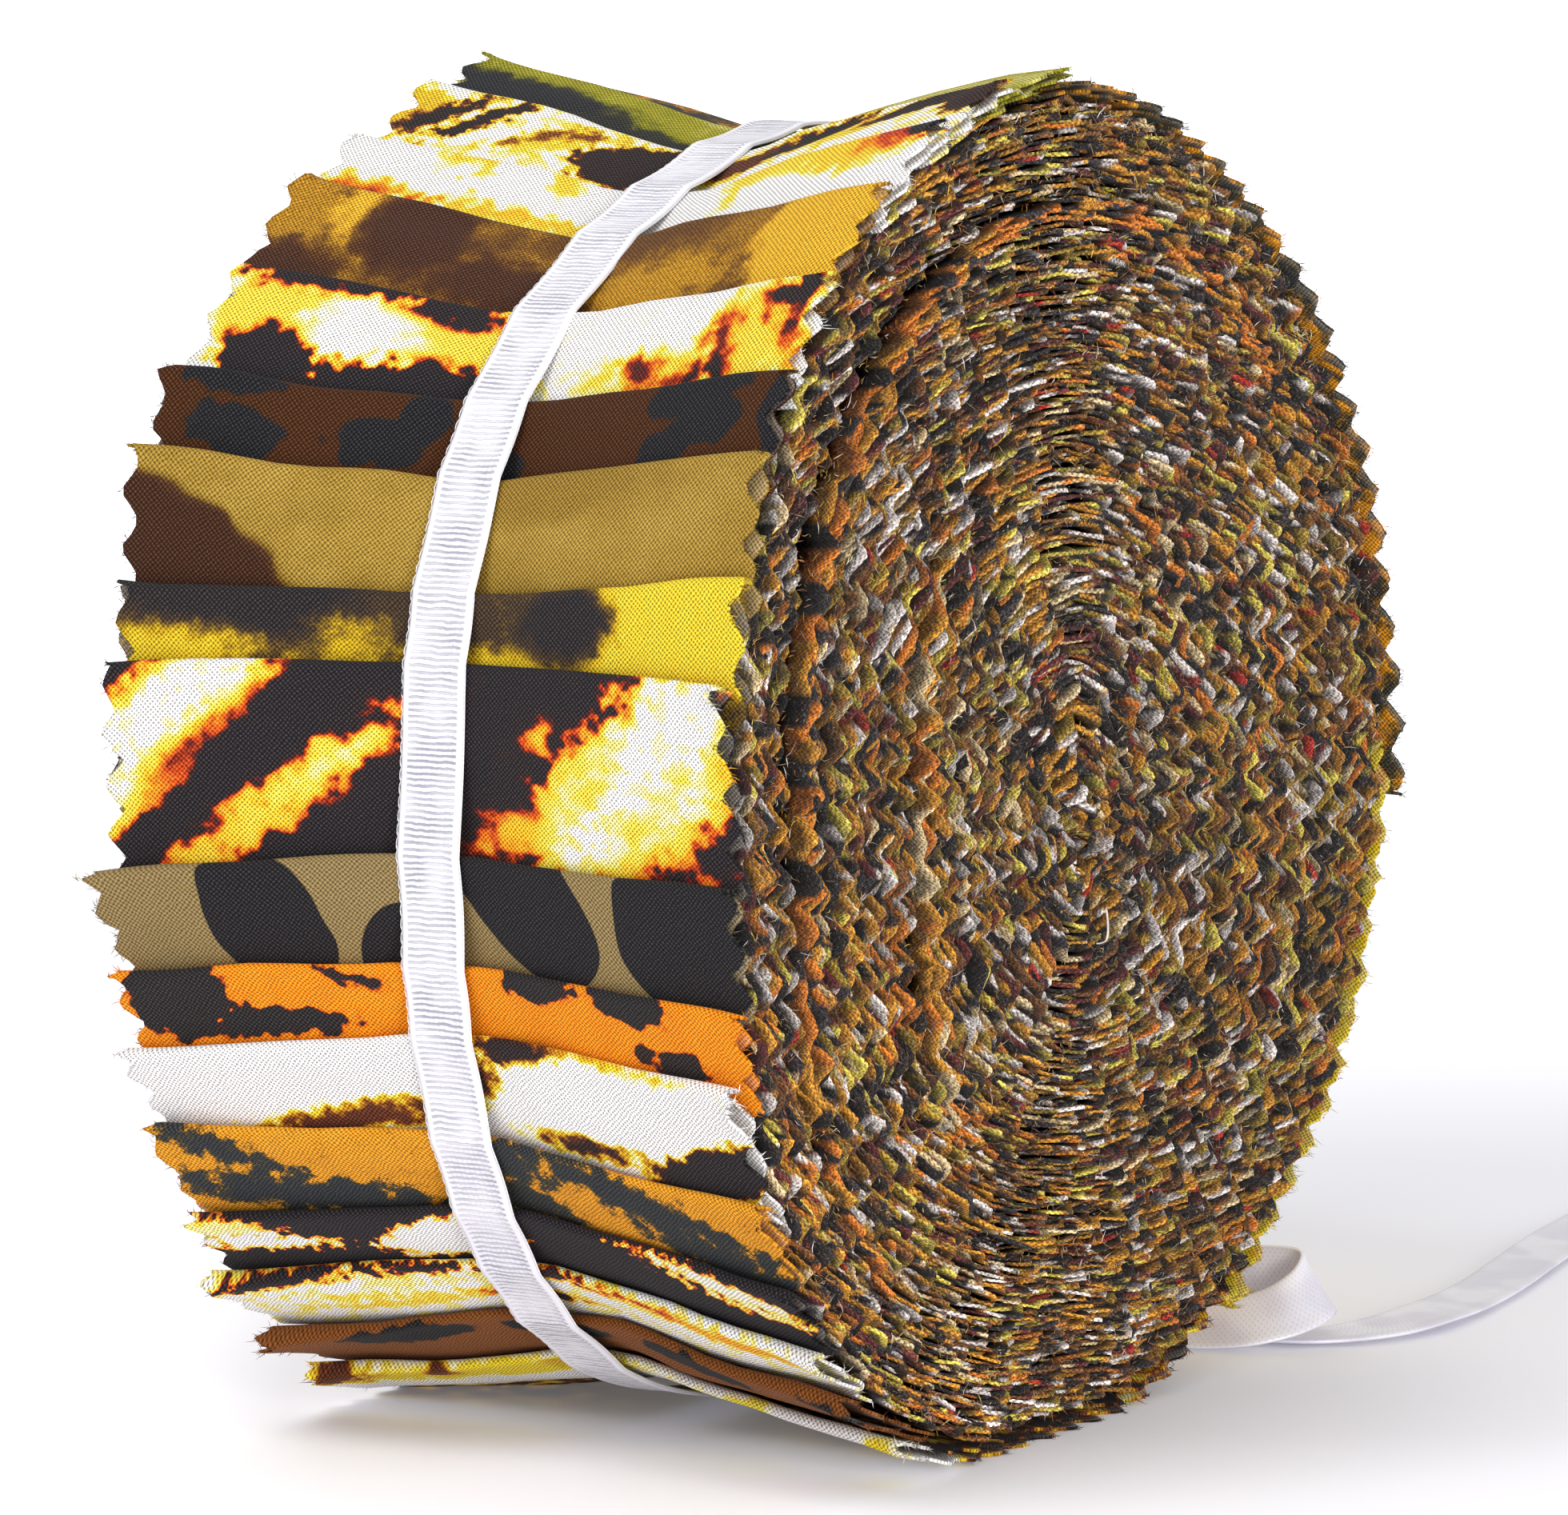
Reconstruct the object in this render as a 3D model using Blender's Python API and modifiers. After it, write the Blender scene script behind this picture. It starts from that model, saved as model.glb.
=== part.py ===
"""Fabric strip roll: pinked cotton strips wound into a roll, tied with a narrow ribbon.

Metres, +Z up. The roll's axis runs along Y, the surface that it stands on is z = 0, and
the origin is the middle of the base of the roll and its strips. Angles go round the axis
from +X towards +Z, in degrees.
"""
import math
from typing import NamedTuple

import bmesh
import bpy
from mathutils import Vector

MM = 0.001
COLLECTION = "fabric_strip_roll"

# Driving sizes
STRIP_WIDTH = 63.5 * MM
AXIS_X = -0.9 * MM
AXIS_HEIGHT = 59.5 * MM
CLOTH = 1.0 * MM
GAP = 0.3 * MM

# Shingled strips: each lies one step above the next at the same place
STEP = CLOTH + GAP
HIDDEN_PHASE = 0.3
LOWEST_LEVEL = 0.35
RAMP_LENGTH = 14.0 * MM
LIFT_POWER = 1.5
CORNER_REACH = 0.75
FLOOR_STACK = GAP + CLOTH + LOWEST_LEVEL * STEP
FACE_STACK = 2.4 * MM
MEAN_RADIUS = 60.5 * MM
FLOOR_DROP = 0.5

# Pinked edges
TOOTH_PITCH = 4.5 * MM
TOOTH_DEPTH = 1.9 * MM

# The ribbon's waist
WAIST_DEPTH = 4.0 * MM
WAIST_EXTRA = 1.8 * MM
WAIST_DEEPEST_ANGLE = 100.0
WAIST_FLAT = 4.0 * MM
WAIST_POWER = 1.3

# Winding on the end faces
FACE_Y = 30.3 * MM
RIDGE_HEIGHT = 0.8 * MM
COARSE_TURNS = 8
EYE_STRETCH = 0.4
EYE_ANGLE = 95.0
ROLL_COLUMNS = 60
BODY_ROWS = (-21.0, -12.0, -4.0, 4.0, 12.0, 21.0)
RIM_SHARE = 1.0 - 0.3 / COARSE_TURNS
EYE_SHARE = 0.2 / COARSE_TURNS
MERGE_DISTANCE = 0.02 * MM

# Ribbon tie
RIBBON_WIDTH = 6.0 * MM
RIBBON_THICKNESS = 1.0 * MM
BAND_SKEW = 0.6 * MM
BAND_SKEW_ANGLE = 95.0
BAND_COLUMNS = 72
KNOT_ANGLE = 308.0
KNOT_SIZE = (8.0 * MM, 7.0 * MM, 4.0 * MM)
KNOT_TAPER = 0.7
KNOT_ROUNDING = 0.9 * MM


class OutlineKey(NamedTuple):
    """Radius of the roll at one angle, on the face towards -Y and on the face towards +Y."""
    angle: float
    near: float
    far: float


OUTLINE = (
    OutlineKey(0, 63.0, 62.5),
    OutlineKey(30, 61.2, 59.2),
    OutlineKey(60, 59.6, 61.0),
    OutlineKey(85, 61.0, 61.5),
    OutlineKey(112, 62.0, 58.0),
    OutlineKey(145, 62.0, 60.5),
    OutlineKey(183, 58.5, 60.0),
    OutlineKey(226, 63.5, 61.8),
    OutlineKey(268, 61.6, 61.6),
    OutlineKey(300, 60.8, 60.6),
    OutlineKey(330, 63.4, 62.6),
)


class Strip(NamedTuple):
    """One strip's visible end.

    The fold edge lies at angle near on the -Y rim and far on the +Y rim, and bows by bow
    degrees between them. The lifts, in millimetres, raise its corners off the roll, and the
    shifts move its pinked ends outwards along Y.
    """
    near: float
    far: float
    bow: float
    near_lift: float
    far_lift: float
    near_shift: float
    far_shift: float


STRIPS = (
    Strip(92.0, 90.0, 0.0, 0.0, 0.6, 0.0, 0.0),
    Strip(102.0, 98.5, 0.0, 0.2, 0.6, 0.3, 0.0),
    Strip(113.0, 110.0, 0.0, 0.2, 0.6, 0.0, 0.8),
    Strip(122.5, 119.5, 0.0, 0.0, 1.2, 0.0, 0.5),
    Strip(133.5, 132.0, 0.0, 0.2, 0.2, 0.0, -0.8),
    Strip(142.5, 144.0, 0.0, 0.0, 1.0, 0.0, 0.8),
    Strip(149.5, 151.5, 0.0, 0.4, 1.4, 0.0, 1.0),
    Strip(159.5, 162.5, 0.0, 0.2, 0.5, 0.0, 0.0),
    Strip(168.0, 169.5, -1.5, 1.4, 0.8, -0.8, 0.0),
    Strip(184.5, 186.5, -1.5, 0.4, 2.4, 0.0, 1.0),
    Strip(194.5, 194.5, -0.6, 0.4, 0.8, 0.0, 0.2),
    Strip(200.5, 201.5, -0.8, 1.5, 1.2, -0.8, 0.8),
    Strip(210.5, 208.5, 0.5, 0.4, 1.0, 0.0, 0.0),
    Strip(218.5, 218.0, -0.8, 0.4, 1.4, 0.0, -0.6),
    Strip(225.5, 225.0, -1.0, 1.2, 2.2, 0.0, 1.0),
    Strip(232.0, 233.5, -0.6, 1.4, 2.4, 0.0, 0.0),
    Strip(241.0, 242.0, -0.5, 0.6, 1.4, 0.0, 0.4),
    Strip(300.0, 301.0, 0.0, 0.4, 0.6, 0.0, 0.4),
    Strip(352.0, 353.5, 0.0, 0.8, 0.6, 0.9, 0.0),
)

# Rows of vertices across a strip, as shares of half its width
STRIP_ROWS = (-1.0, *(y * MM / (STRIP_WIDTH / 2) for y in BODY_ROWS), 1.0)

# Main colour of each strip's print, in the strips' order
STRIP_COLOURS = (
    (0.42, 0.36, 0.05), (0.80, 0.72, 0.50), (0.85, 0.78, 0.50), (0.32, 0.19, 0.03),
    (0.85, 0.75, 0.40), (0.20, 0.10, 0.03), (0.45, 0.33, 0.07), (0.30, 0.22, 0.04),
    (0.35, 0.25, 0.12), (0.35, 0.27, 0.11), (0.70, 0.30, 0.03), (0.85, 0.82, 0.75),
    (0.45, 0.25, 0.04), (0.12, 0.10, 0.08), (0.75, 0.65, 0.35), (0.22, 0.12, 0.05),
    (0.80, 0.72, 0.40), (0.60, 0.48, 0.05), (0.40, 0.28, 0.06),
)
WINDING_COLOUR = (0.28, 0.20, 0.10)
RIBBON_COLOUR = (0.88, 0.87, 0.90)


class TapePoint(NamedTuple):
    """A point on a tape's middle line, in millimetres, and how far its width leans.

    At lean 0 the width stands upright, and at lean 90 it lies flat.
    """
    x: float
    y: float
    z: float
    lean: float


LOOP_ROUTE = (
    TapePoint(36.5, -4.1, 11.5, 52.0),
    TapePoint(36.6, -6.4, 10.6, 46.0),
    TapePoint(37.0, -12.5, 6.4, 22.0),
    TapePoint(38.3, -20.0, 3.6, 9.0),
    TapePoint(40.2, -26.0, 3.6, 4.0),
    TapePoint(44.0, -30.4, 4.8, 0.0),
    TapePoint(48.8, -31.4, 4.9, -4.0),
    TapePoint(51.4, -28.6, 4.9, -8.0),
    TapePoint(49.4, -22.5, 5.0, -10.0),
    TapePoint(45.8, -15.5, 5.8, -16.0),
    TapePoint(40.8, -9.5, 8.6, -36.0),
    TapePoint(38.0, -6.4, 9.9, -50.0),
    TapePoint(37.7, -4.4, 10.1, -52.0),
)

TAIL_ROUTE = (
    TapePoint(38.5, 0.0, 9.0, 90.0),
    TapePoint(40.3, 0.0, 6.4, 90.0),
    TapePoint(43.0, -3.8, 2.6, 90.0),
    TapePoint(43.6, -12.0, 0.7, 90.0),
    TapePoint(43.9, -19.0, 0.6, 90.0),
    TapePoint(44.9, -25.5, 0.6, 90.0),
    TapePoint(47.2, -31.2, 0.6, 90.0),
    TapePoint(52.6, -35.2, 1.0, 82.0),
    TapePoint(60.0, -36.4, 1.5, 74.0),
    TapePoint(68.5, -35.9, 0.9, 86.0),
    TapePoint(79.0, -34.4, 0.6, 90.0),
    TapePoint(92.0, -31.8, 0.6, 90.0),
    TapePoint(104.0, -29.4, 0.6, 90.0),
    TapePoint(116.0, -27.4, 0.6, 90.0),
    TapePoint(128.0, -25.8, 0.6, 90.0),
)
TAPE_SEGMENT = 2.5 * MM


def clear_scene():
    """Remove every object of the open scene."""
    for obj in list(bpy.data.objects):
        bpy.data.objects.remove(obj, do_unlink=True)


def make_material(name, colour, roughness):
    """Return a cloth material with one colour and roughness."""
    material = bpy.data.materials.new(name)
    material.use_nodes = True
    shader = material.node_tree.nodes["Principled BSDF"]
    shader.inputs["Base Color"].default_value = (*colour, 1.0)
    shader.inputs["Roughness"].default_value = roughness
    shader.inputs["Metallic"].default_value = 0.0
    return material


def hermite(low, high, slope_low, slope_high, span, fraction):
    """Cubic between two values with the given slopes at its ends."""
    square = fraction * fraction
    cube = square * fraction
    return ((2 * cube - 3 * square + 1) * low + (cube - 2 * square + fraction) * span * slope_low
            + (3 * square - 2 * cube) * high + (cube - square) * span * slope_high)


def outline_radius(angle, column):
    """Smooth closed curve through one column of OUTLINE, in metres."""
    count = len(OUTLINE)
    angle = angle % 360.0
    index = max(i for i in range(count) if OUTLINE[i].angle <= angle)

    def key(i):
        """Angle and radius of key i, counted on past the full turn."""
        turn, place = divmod(i, count)
        return OUTLINE[place].angle + 360.0 * turn, getattr(OUTLINE[place], column)

    def slope(i):
        """Slope of the curve at key i."""
        (angle_before, before), (angle_after, after) = key(i - 1), key(i + 1)
        return (after - before) / (angle_after - angle_before)

    (start, low), (end, high) = key(index), key(index + 1)
    span = end - start
    return MM * hermite(low, high, slope(index), slope(index + 1), span, (angle - start) / span)


def waist(angle, y):
    """Depth to which the ribbon draws the roll in; it bites deepest over the top."""
    half = STRIP_WIDTH / 2
    reach = min(1.0, max(0.0, (abs(y) - WAIST_FLAT) / (half - WAIST_FLAT)))
    bite = 0.5 + 0.5 * math.cos(math.radians(angle - WAIST_DEEPEST_ANGLE))
    return (WAIST_DEPTH + WAIST_EXTRA * bite ** 4) * (1.0 - reach) ** WAIST_POWER


def layer_radius(angle, y, height):
    """Radius at a height above the wound roll, held level where it meets the floor."""
    across = min(1.0, max(0.0, y / STRIP_WIDTH + 0.5))
    near = outline_radius(angle, "near")
    far = outline_radius(angle, "far")
    radius = near + (far - near) * across - FACE_STACK - waist(angle, y) + height
    drop = -math.sin(math.radians(angle))
    if drop > FLOOR_DROP:
        radius = min(radius, (AXIS_HEIGHT - FLOOR_STACK + height) / drop)
    return radius


def around(angle, radius, y):
    """Point at a polar place round the roll's axis."""
    turn = math.radians(angle)
    return Vector((AXIS_X + radius * math.cos(turn), y, AXIS_HEIGHT + radius * math.sin(turn)))


def grid_cell(vertex, columns, rows):
    """Column and row of a vertex of a grid of size 1."""
    column = round((vertex.co.x + 1.0) / 2.0 * columns)
    row = round((vertex.co.y + 1.0) / 2.0 * rows)
    return column, row


def grid_mesh(columns, rows, place):
    """Return a bmesh grid whose vertices are put where place(column, row) says."""
    mesh = bmesh.new()
    bmesh.ops.create_grid(mesh, x_segments=columns, y_segments=rows, size=1.0)
    for vertex in mesh.verts:
        vertex.co = place(*grid_cell(vertex, columns, rows))
    return mesh


def add_object(name, mesh, collection, colour, roughness=0.85):
    """Make a named object with its own material from a bmesh."""
    data = bpy.data.meshes.new(name)
    mesh.to_mesh(data)
    mesh.free()
    data.materials.append(make_material(name, colour, roughness))
    data.shade_smooth()
    obj = bpy.data.objects.new(name, data)
    collection.objects.link(obj)
    return obj


def add_thickness(obj, thickness, offset=-1.0):
    """Give an open sheet its thickness."""
    solid = obj.modifiers.new("thickness", "SOLIDIFY")
    solid.thickness = thickness
    solid.offset = offset


def fold_angle(index, y):
    """Angle of strip index's fold edge at y, counted on past the full turn."""
    turn, place = divmod(index, len(STRIPS))
    strip = STRIPS[place]
    across = y / STRIP_WIDTH + 0.5
    bow = strip.bow * (1.0 - (2.0 * across - 1.0) ** 2)
    return strip.near + (strip.far - strip.near) * across + bow + 360.0 * turn


def ramp_angle(index, y):
    """Angle over which strip index comes down from its fold edge."""
    pitch = fold_angle(index + 1, y) - fold_angle(index, y)
    return min(pitch, math.degrees(RAMP_LENGTH / MEAN_RADIUS))


def strip_phase(index, angle, y):
    """Progress down a strip: 0 at its fold edge, 1 where the next strip covers it."""
    down = (angle - fold_angle(index, y)) / ramp_angle(index, y)
    under = (angle - fold_angle(index + 1, y)) / ramp_angle(index + 1, y)
    return min(1.0, max(0.0, down)) + max(0.0, under)


def corner_lift(strip, phase, across):
    """Height of a strip's curled corner; across goes from -1 at -Y to 1 at +Y."""
    free = max(0.0, 1.0 - phase) ** LIFT_POWER
    near = strip.near_lift * max(0.0, 1.0 - (1.0 + across) / CORNER_REACH) ** 2
    far = strip.far_lift * max(0.0, 1.0 - (1.0 - across) / CORNER_REACH) ** 2
    return MM * free * (near + far)


def strip_mesh(index):
    """One strip from under the next strip's fold edge up to its own fold edge."""
    strip = STRIPS[index]
    end = fold_angle(index + 1, 0.0) + HIDDEN_PHASE * ramp_angle(index + 1, 0.0)
    length = math.radians(end - fold_angle(index, 0.0)) * MEAN_RADIUS
    columns = max(4, round(length / (TOOTH_PITCH / 2)))
    rows = len(STRIP_ROWS) - 1

    def place(column, row):
        """Vertex of the strip's outer side."""
        across = STRIP_ROWS[row]
        y = across * STRIP_WIDTH / 2
        if row in (0, rows):
            shift = strip.near_shift if row == 0 else strip.far_shift
            y += across * (MM * shift * column / columns - TOOTH_DEPTH * (column % 2))
        start = fold_angle(index, y)
        hidden = fold_angle(index + 1, y) + HIDDEN_PHASE * ramp_angle(index + 1, y)
        angle = hidden + (start - hidden) * column / columns
        phase = strip_phase(index, angle, y)
        height = GAP + CLOTH + STEP * (1.0 + LOWEST_LEVEL - phase) + corner_lift(strip, phase, across)
        return around(angle, layer_radius(angle, y, height), y)

    return grid_mesh(columns, rows, place)


def winding_rows():
    """Rows of the roll's skin, from the middle of the -Y face to the middle of the +Y face."""
    face_rows = 2 * COARSE_TURNS
    near = [("near", k) for k in range(-2, face_rows + 1)]
    body = [("body", y * MM) for y in BODY_ROWS]
    return near + body + [("far", k) for k in range(face_rows, -3, -1)]


def roll_mesh():
    """The wound roll, with a coarse spiral ridge on both faces."""
    rows = winding_rows()
    last = ROLL_COLUMNS

    def face_point(column, k, side):
        """Point on an end face; every second row is the ridge of the spiral."""
        turned = 1.0 - column / last
        share = min(1.0, max(0.0, (k / 2 + turned) / COARSE_TURNS))
        if share > RIM_SHARE or k == 2 * COARSE_TURNS:
            share = 1.0
        if share < EYE_SHARE:
            share = 0.0
        ridge = RIDGE_HEIGHT if k % 2 == 0 and 0.0 < share < 1.0 else 0.0
        y = side * (FACE_Y + ridge)
        angle = 360.0 * (column % last) / last
        oval = 1.0 + EYE_STRETCH * (1.0 - share) ** 2 * math.cos(math.radians(2.0 * (angle - EYE_ANGLE)))
        return around(angle, oval * share * layer_radius(angle, y, 0.0), y)

    def place(column, row):
        """Vertex of the roll's skin."""
        kind, value = rows[row]
        if kind == "body":
            angle = 360.0 * (column % last) / last
            return around(angle, layer_radius(angle, value, 0.0), value)
        return face_point(column, value, -1.0 if kind == "near" else 1.0)

    mesh = grid_mesh(last, len(rows) - 1, place)
    bmesh.ops.remove_doubles(mesh, verts=mesh.verts, dist=MERGE_DISTANCE)
    mesh.normal_update()
    bmesh.ops.recalc_face_normals(mesh, faces=mesh.faces)
    return mesh


def band_height():
    """Height of the band's outer side above the wound roll at the waist."""
    return GAP + CLOTH + STEP * (1.0 + LOWEST_LEVEL) + GAP + RIBBON_THICKNESS


def band_mesh():
    """The ribbon's ring round the waist, as a ring of the outer side only."""
    def place(column, row):
        """Vertex of the band's outer side."""
        angle = 360.0 * (column % BAND_COLUMNS) / BAND_COLUMNS
        skew = BAND_SKEW * math.cos(math.radians(angle - BAND_SKEW_ANGLE))
        y = RIBBON_WIDTH * (row - 0.5) + skew
        return around(angle, layer_radius(angle, 0.0, band_height()), -y)

    mesh = grid_mesh(BAND_COLUMNS, 1, place)
    bmesh.ops.remove_doubles(mesh, verts=mesh.verts, dist=MERGE_DISTANCE)
    return mesh


def knot_mesh():
    """The tie's knot: a rounded lump on the band, wider along the band than across it."""
    mesh = bmesh.new()
    bmesh.ops.create_cube(mesh, size=1.0)
    radius = layer_radius(KNOT_ANGLE, 0.0, band_height() + GAP + KNOT_SIZE[2] / 2)
    centre = around(KNOT_ANGLE, radius, 0.0)
    turn = math.radians(KNOT_ANGLE)
    out = Vector((math.cos(turn), 0.0, math.sin(turn)))
    along = Vector((math.sin(turn), 0.0, -math.cos(turn)))
    for vertex in mesh.verts:
        local = vertex.co.copy()
        taper = 1.0 if local.z < 0 else KNOT_TAPER
        vertex.co = (centre + along * local.x * KNOT_SIZE[0] * taper
                     + Vector((0.0, 1.0, 0.0)) * local.y * KNOT_SIZE[1]
                     + out * local.z * KNOT_SIZE[2])
    mesh.normal_update()
    bmesh.ops.bevel(mesh, geom=list(mesh.edges), offset=KNOT_ROUNDING, segments=2, profile=0.5,
                    affect="EDGES", material=-1)
    return mesh


def smooth_route(route):
    """Points and leans along a smooth curve through a tape's route, about TAPE_SEGMENT apart."""
    def slope(i, field):
        """Slope of one field at route point i, per step."""
        before = route[max(0, i - 1)]
        after = route[min(len(route) - 1, i + 1)]
        steps = min(len(route) - 1, i + 1) - max(0, i - 1)
        return (getattr(after, field) - getattr(before, field)) / steps

    samples = []
    for i in range(len(route) - 1):
        low, high = route[i], route[i + 1]
        run = MM * (Vector(high[:3]) - Vector(low[:3])).length
        pieces = max(1, round(run / TAPE_SEGMENT))
        for piece in range(pieces + (i == len(route) - 2)):
            fraction = piece / pieces
            samples.append([hermite(getattr(low, field), getattr(high, field),
                                    slope(i, field), slope(i + 1, field), 1.0, fraction)
                            for field in TapePoint._fields])
    return [(MM * Vector(sample[:3]), sample[3]) for sample in samples]


def tape_mesh(route):
    """A tape whose width stands upright at lean 0 and lies flat at lean 90."""
    samples = smooth_route(route)
    last = len(samples) - 1

    def place(column, row):
        """Vertex of the tape's middle surface."""
        point, lean = samples[column]
        ahead = samples[min(last, column + 1)][0] - samples[max(0, column - 1)][0]
        sideways = Vector((-ahead.y, ahead.x, 0.0)).normalized()
        tilt = math.radians(lean)
        width = Vector((0.0, 0.0, 1.0)) * math.cos(tilt) + sideways * math.sin(tilt)
        return point + width * RIBBON_WIDTH * (row - 0.5)

    return grid_mesh(last, 1, place)


def build():
    """Model the roll, its strips and its ribbon."""
    clear_scene()
    collection = bpy.data.collections.new(COLLECTION)
    bpy.context.scene.collection.children.link(collection)

    add_object("wound_roll", roll_mesh(), collection, WINDING_COLOUR)
    for index, colour in enumerate(STRIP_COLOURS):
        strip = add_object(f"strip_{index + 1:02d}", strip_mesh(index), collection, colour)
        add_thickness(strip, CLOTH)

    band = add_object("ribbon_band", band_mesh(), collection, RIBBON_COLOUR, 0.4)
    add_thickness(band, RIBBON_THICKNESS)
    add_object("ribbon_knot", knot_mesh(), collection, RIBBON_COLOUR, 0.4)
    for name, route in (("ribbon_loop", LOOP_ROUTE), ("ribbon_tail", TAIL_ROUTE)):
        tape = add_object(name, tape_mesh(route), collection, RIBBON_COLOUR, 0.4)
        add_thickness(tape, RIBBON_THICKNESS, offset=0.0)


build()
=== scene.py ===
"""Looks of the fabric strip roll: pinked cotton strips wound tight and tied with a ribbon.

Sizes are in millimetres unless a name says otherwise, and MM turns them into metres. Angles
are in degrees and go round the roll's axis from +X towards +Z. A cloth's own coordinates are
millimetres across the strip from its far rim, and down from its fold edge.
"""
from __future__ import annotations

import logging
import math
from dataclasses import dataclass, field
from enum import Enum
from typing import Callable, Sequence

import bmesh
import bpy
import numpy as np
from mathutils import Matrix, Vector

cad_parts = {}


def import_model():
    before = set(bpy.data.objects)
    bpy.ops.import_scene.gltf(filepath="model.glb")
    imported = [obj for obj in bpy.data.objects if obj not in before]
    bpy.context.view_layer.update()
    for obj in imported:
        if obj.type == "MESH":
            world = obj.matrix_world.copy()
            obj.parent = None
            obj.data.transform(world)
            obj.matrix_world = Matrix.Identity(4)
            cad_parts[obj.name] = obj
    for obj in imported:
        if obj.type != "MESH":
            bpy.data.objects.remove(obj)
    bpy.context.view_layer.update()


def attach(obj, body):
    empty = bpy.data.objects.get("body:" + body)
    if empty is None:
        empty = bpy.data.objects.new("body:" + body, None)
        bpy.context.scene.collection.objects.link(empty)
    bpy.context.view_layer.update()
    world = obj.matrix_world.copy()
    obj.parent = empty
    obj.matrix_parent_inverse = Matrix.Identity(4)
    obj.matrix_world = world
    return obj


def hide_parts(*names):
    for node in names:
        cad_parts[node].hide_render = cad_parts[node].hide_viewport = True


log = logging.getLogger("fabric_strip_roll")

MM = 0.001
BODY = "root"
CLOTH_MAP = "cloth"
WRINKLE_SEED = 5
BACK_WASH = 0.2

Array = np.ndarray
Material = bpy.types.Material
Mesh = bpy.types.Mesh
Node = bpy.types.Node
Socket = bpy.types.NodeSocket
Colour = tuple[float, float, float]
Place = Callable[[Array, Array], Array]


class Face(Enum):
    """The roll's two faces, with the sign of each along the axis."""

    NEAR = -1
    FAR = 1


class Layer(Enum):
    """The two cloths of a doubled strip, with the sign of each from the strip's middle outwards."""

    OUTER = 1
    INNER = -1


class Ease(Enum):
    """How a value moves between the ends of its range."""

    LINEAR = "LINEAR"
    SMOOTH = "SMOOTHSTEP"


def srgb(red: int, green: int, blue: int) -> Colour:
    """Return the linear colour of a screen colour."""
    return tuple(((c / 255 + 0.055) / 1.055) ** 2.4 if c > 10 else c / 255 / 12.92
                 for c in (red, green, blue))


def opaque(red: int, green: int, blue: int) -> tuple[float, ...]:
    """Return a screen colour as linear red, green and blue, and full alpha."""
    return (*srgb(red, green, blue), 1.0)


def held(value: Array) -> Array:
    """Return a value held from 0 to 1."""
    return np.clip(value, 0.0, 1.0)


def run_length(points: Array) -> Array:
    """Return the length run along a line at each of its points."""
    return np.concatenate([[0.0], np.cumsum(np.linalg.norm(np.diff(points, axis=0), axis=1))])


class SmoothNoise:
    """Seeded smooth noise over a plane, from -1 to 1."""

    def __init__(self, seed: int, size: int = 256) -> None:
        """Fill the table of seeded values, which repeats after size cells."""
        self.size = size
        self.table = np.random.default_rng(seed).uniform(-1.0, 1.0, (size, size))

    def __call__(self, x: Array, y: Array) -> Array:
        """Return the noise at places given in cells.

        Args:
            x: First coordinate.
            y: Second coordinate.

        Returns:
            The noise at each place.
        """
        x, y = np.broadcast_arrays(np.asarray(x, float), np.asarray(y, float))
        column, row = np.floor(x).astype(int), np.floor(y).astype(int)
        east, north = x - column, y - row
        east, north = east * east * (3 - 2 * east), north * north * (3 - 2 * north)
        column, row = column % self.size, row % self.size
        right, above = (column + 1) % self.size, (row + 1) % self.size
        low = self.table[column, row] * (1 - east) + self.table[right, row] * east
        high = self.table[column, above] * (1 - east) + self.table[right, above] * east
        return low * (1 - north) + high * north


def saw(place: Array) -> Array:
    """Return a pinked edge's wave: 0 at a tooth's tip and 1 in the valley, once for each unit of place."""
    return 1.0 - np.abs(2.0 * (place - np.floor(place)) - 1.0)


def hermite(low: Array, high: Array, slope_low: Array, slope_high: Array,
            span: Array, share: Array) -> Array:
    """Return the cubic between two values with the given slopes at its ends.

    Args:
        low: Value at the start.
        high: Value at the end.
        slope_low: Slope at the start.
        slope_high: Slope at the end.
        span: Distance from start to end.
        share: Share of that distance at which the cubic is read.

    Returns:
        The cubic's value.
    """
    square, cube = share * share, share ** 3
    return ((2 * cube - 3 * square + 1) * low + (cube - 2 * square + share) * span * slope_low
            + (3 * square - 2 * cube) * high + (cube - square) * span * slope_high)


@dataclass(frozen=True)
class OutlineKey:
    """Radius of the roll at one angle, on the rim towards -Y and on the rim towards +Y."""

    angle: float
    near: float
    far: float


@dataclass(frozen=True)
class StripEnd:
    """Where one strip's fold edge lies, how far its corners lift and how far its ends reach."""

    near: float
    far: float
    bow: float
    near_lift: float
    far_lift: float
    near_shift: float
    far_shift: float


OUTLINE = (
    OutlineKey(0, 63, 62.5), OutlineKey(30, 61.2, 59.2), OutlineKey(60, 59.6, 61),
    OutlineKey(85, 61, 61.5), OutlineKey(112, 62, 58), OutlineKey(145, 62, 60.5),
    OutlineKey(183, 58.5, 60), OutlineKey(226, 63.5, 61.8), OutlineKey(268, 61.6, 61.6),
    OutlineKey(300, 60.8, 60.6), OutlineKey(330, 63.4, 62.6),
)

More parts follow.
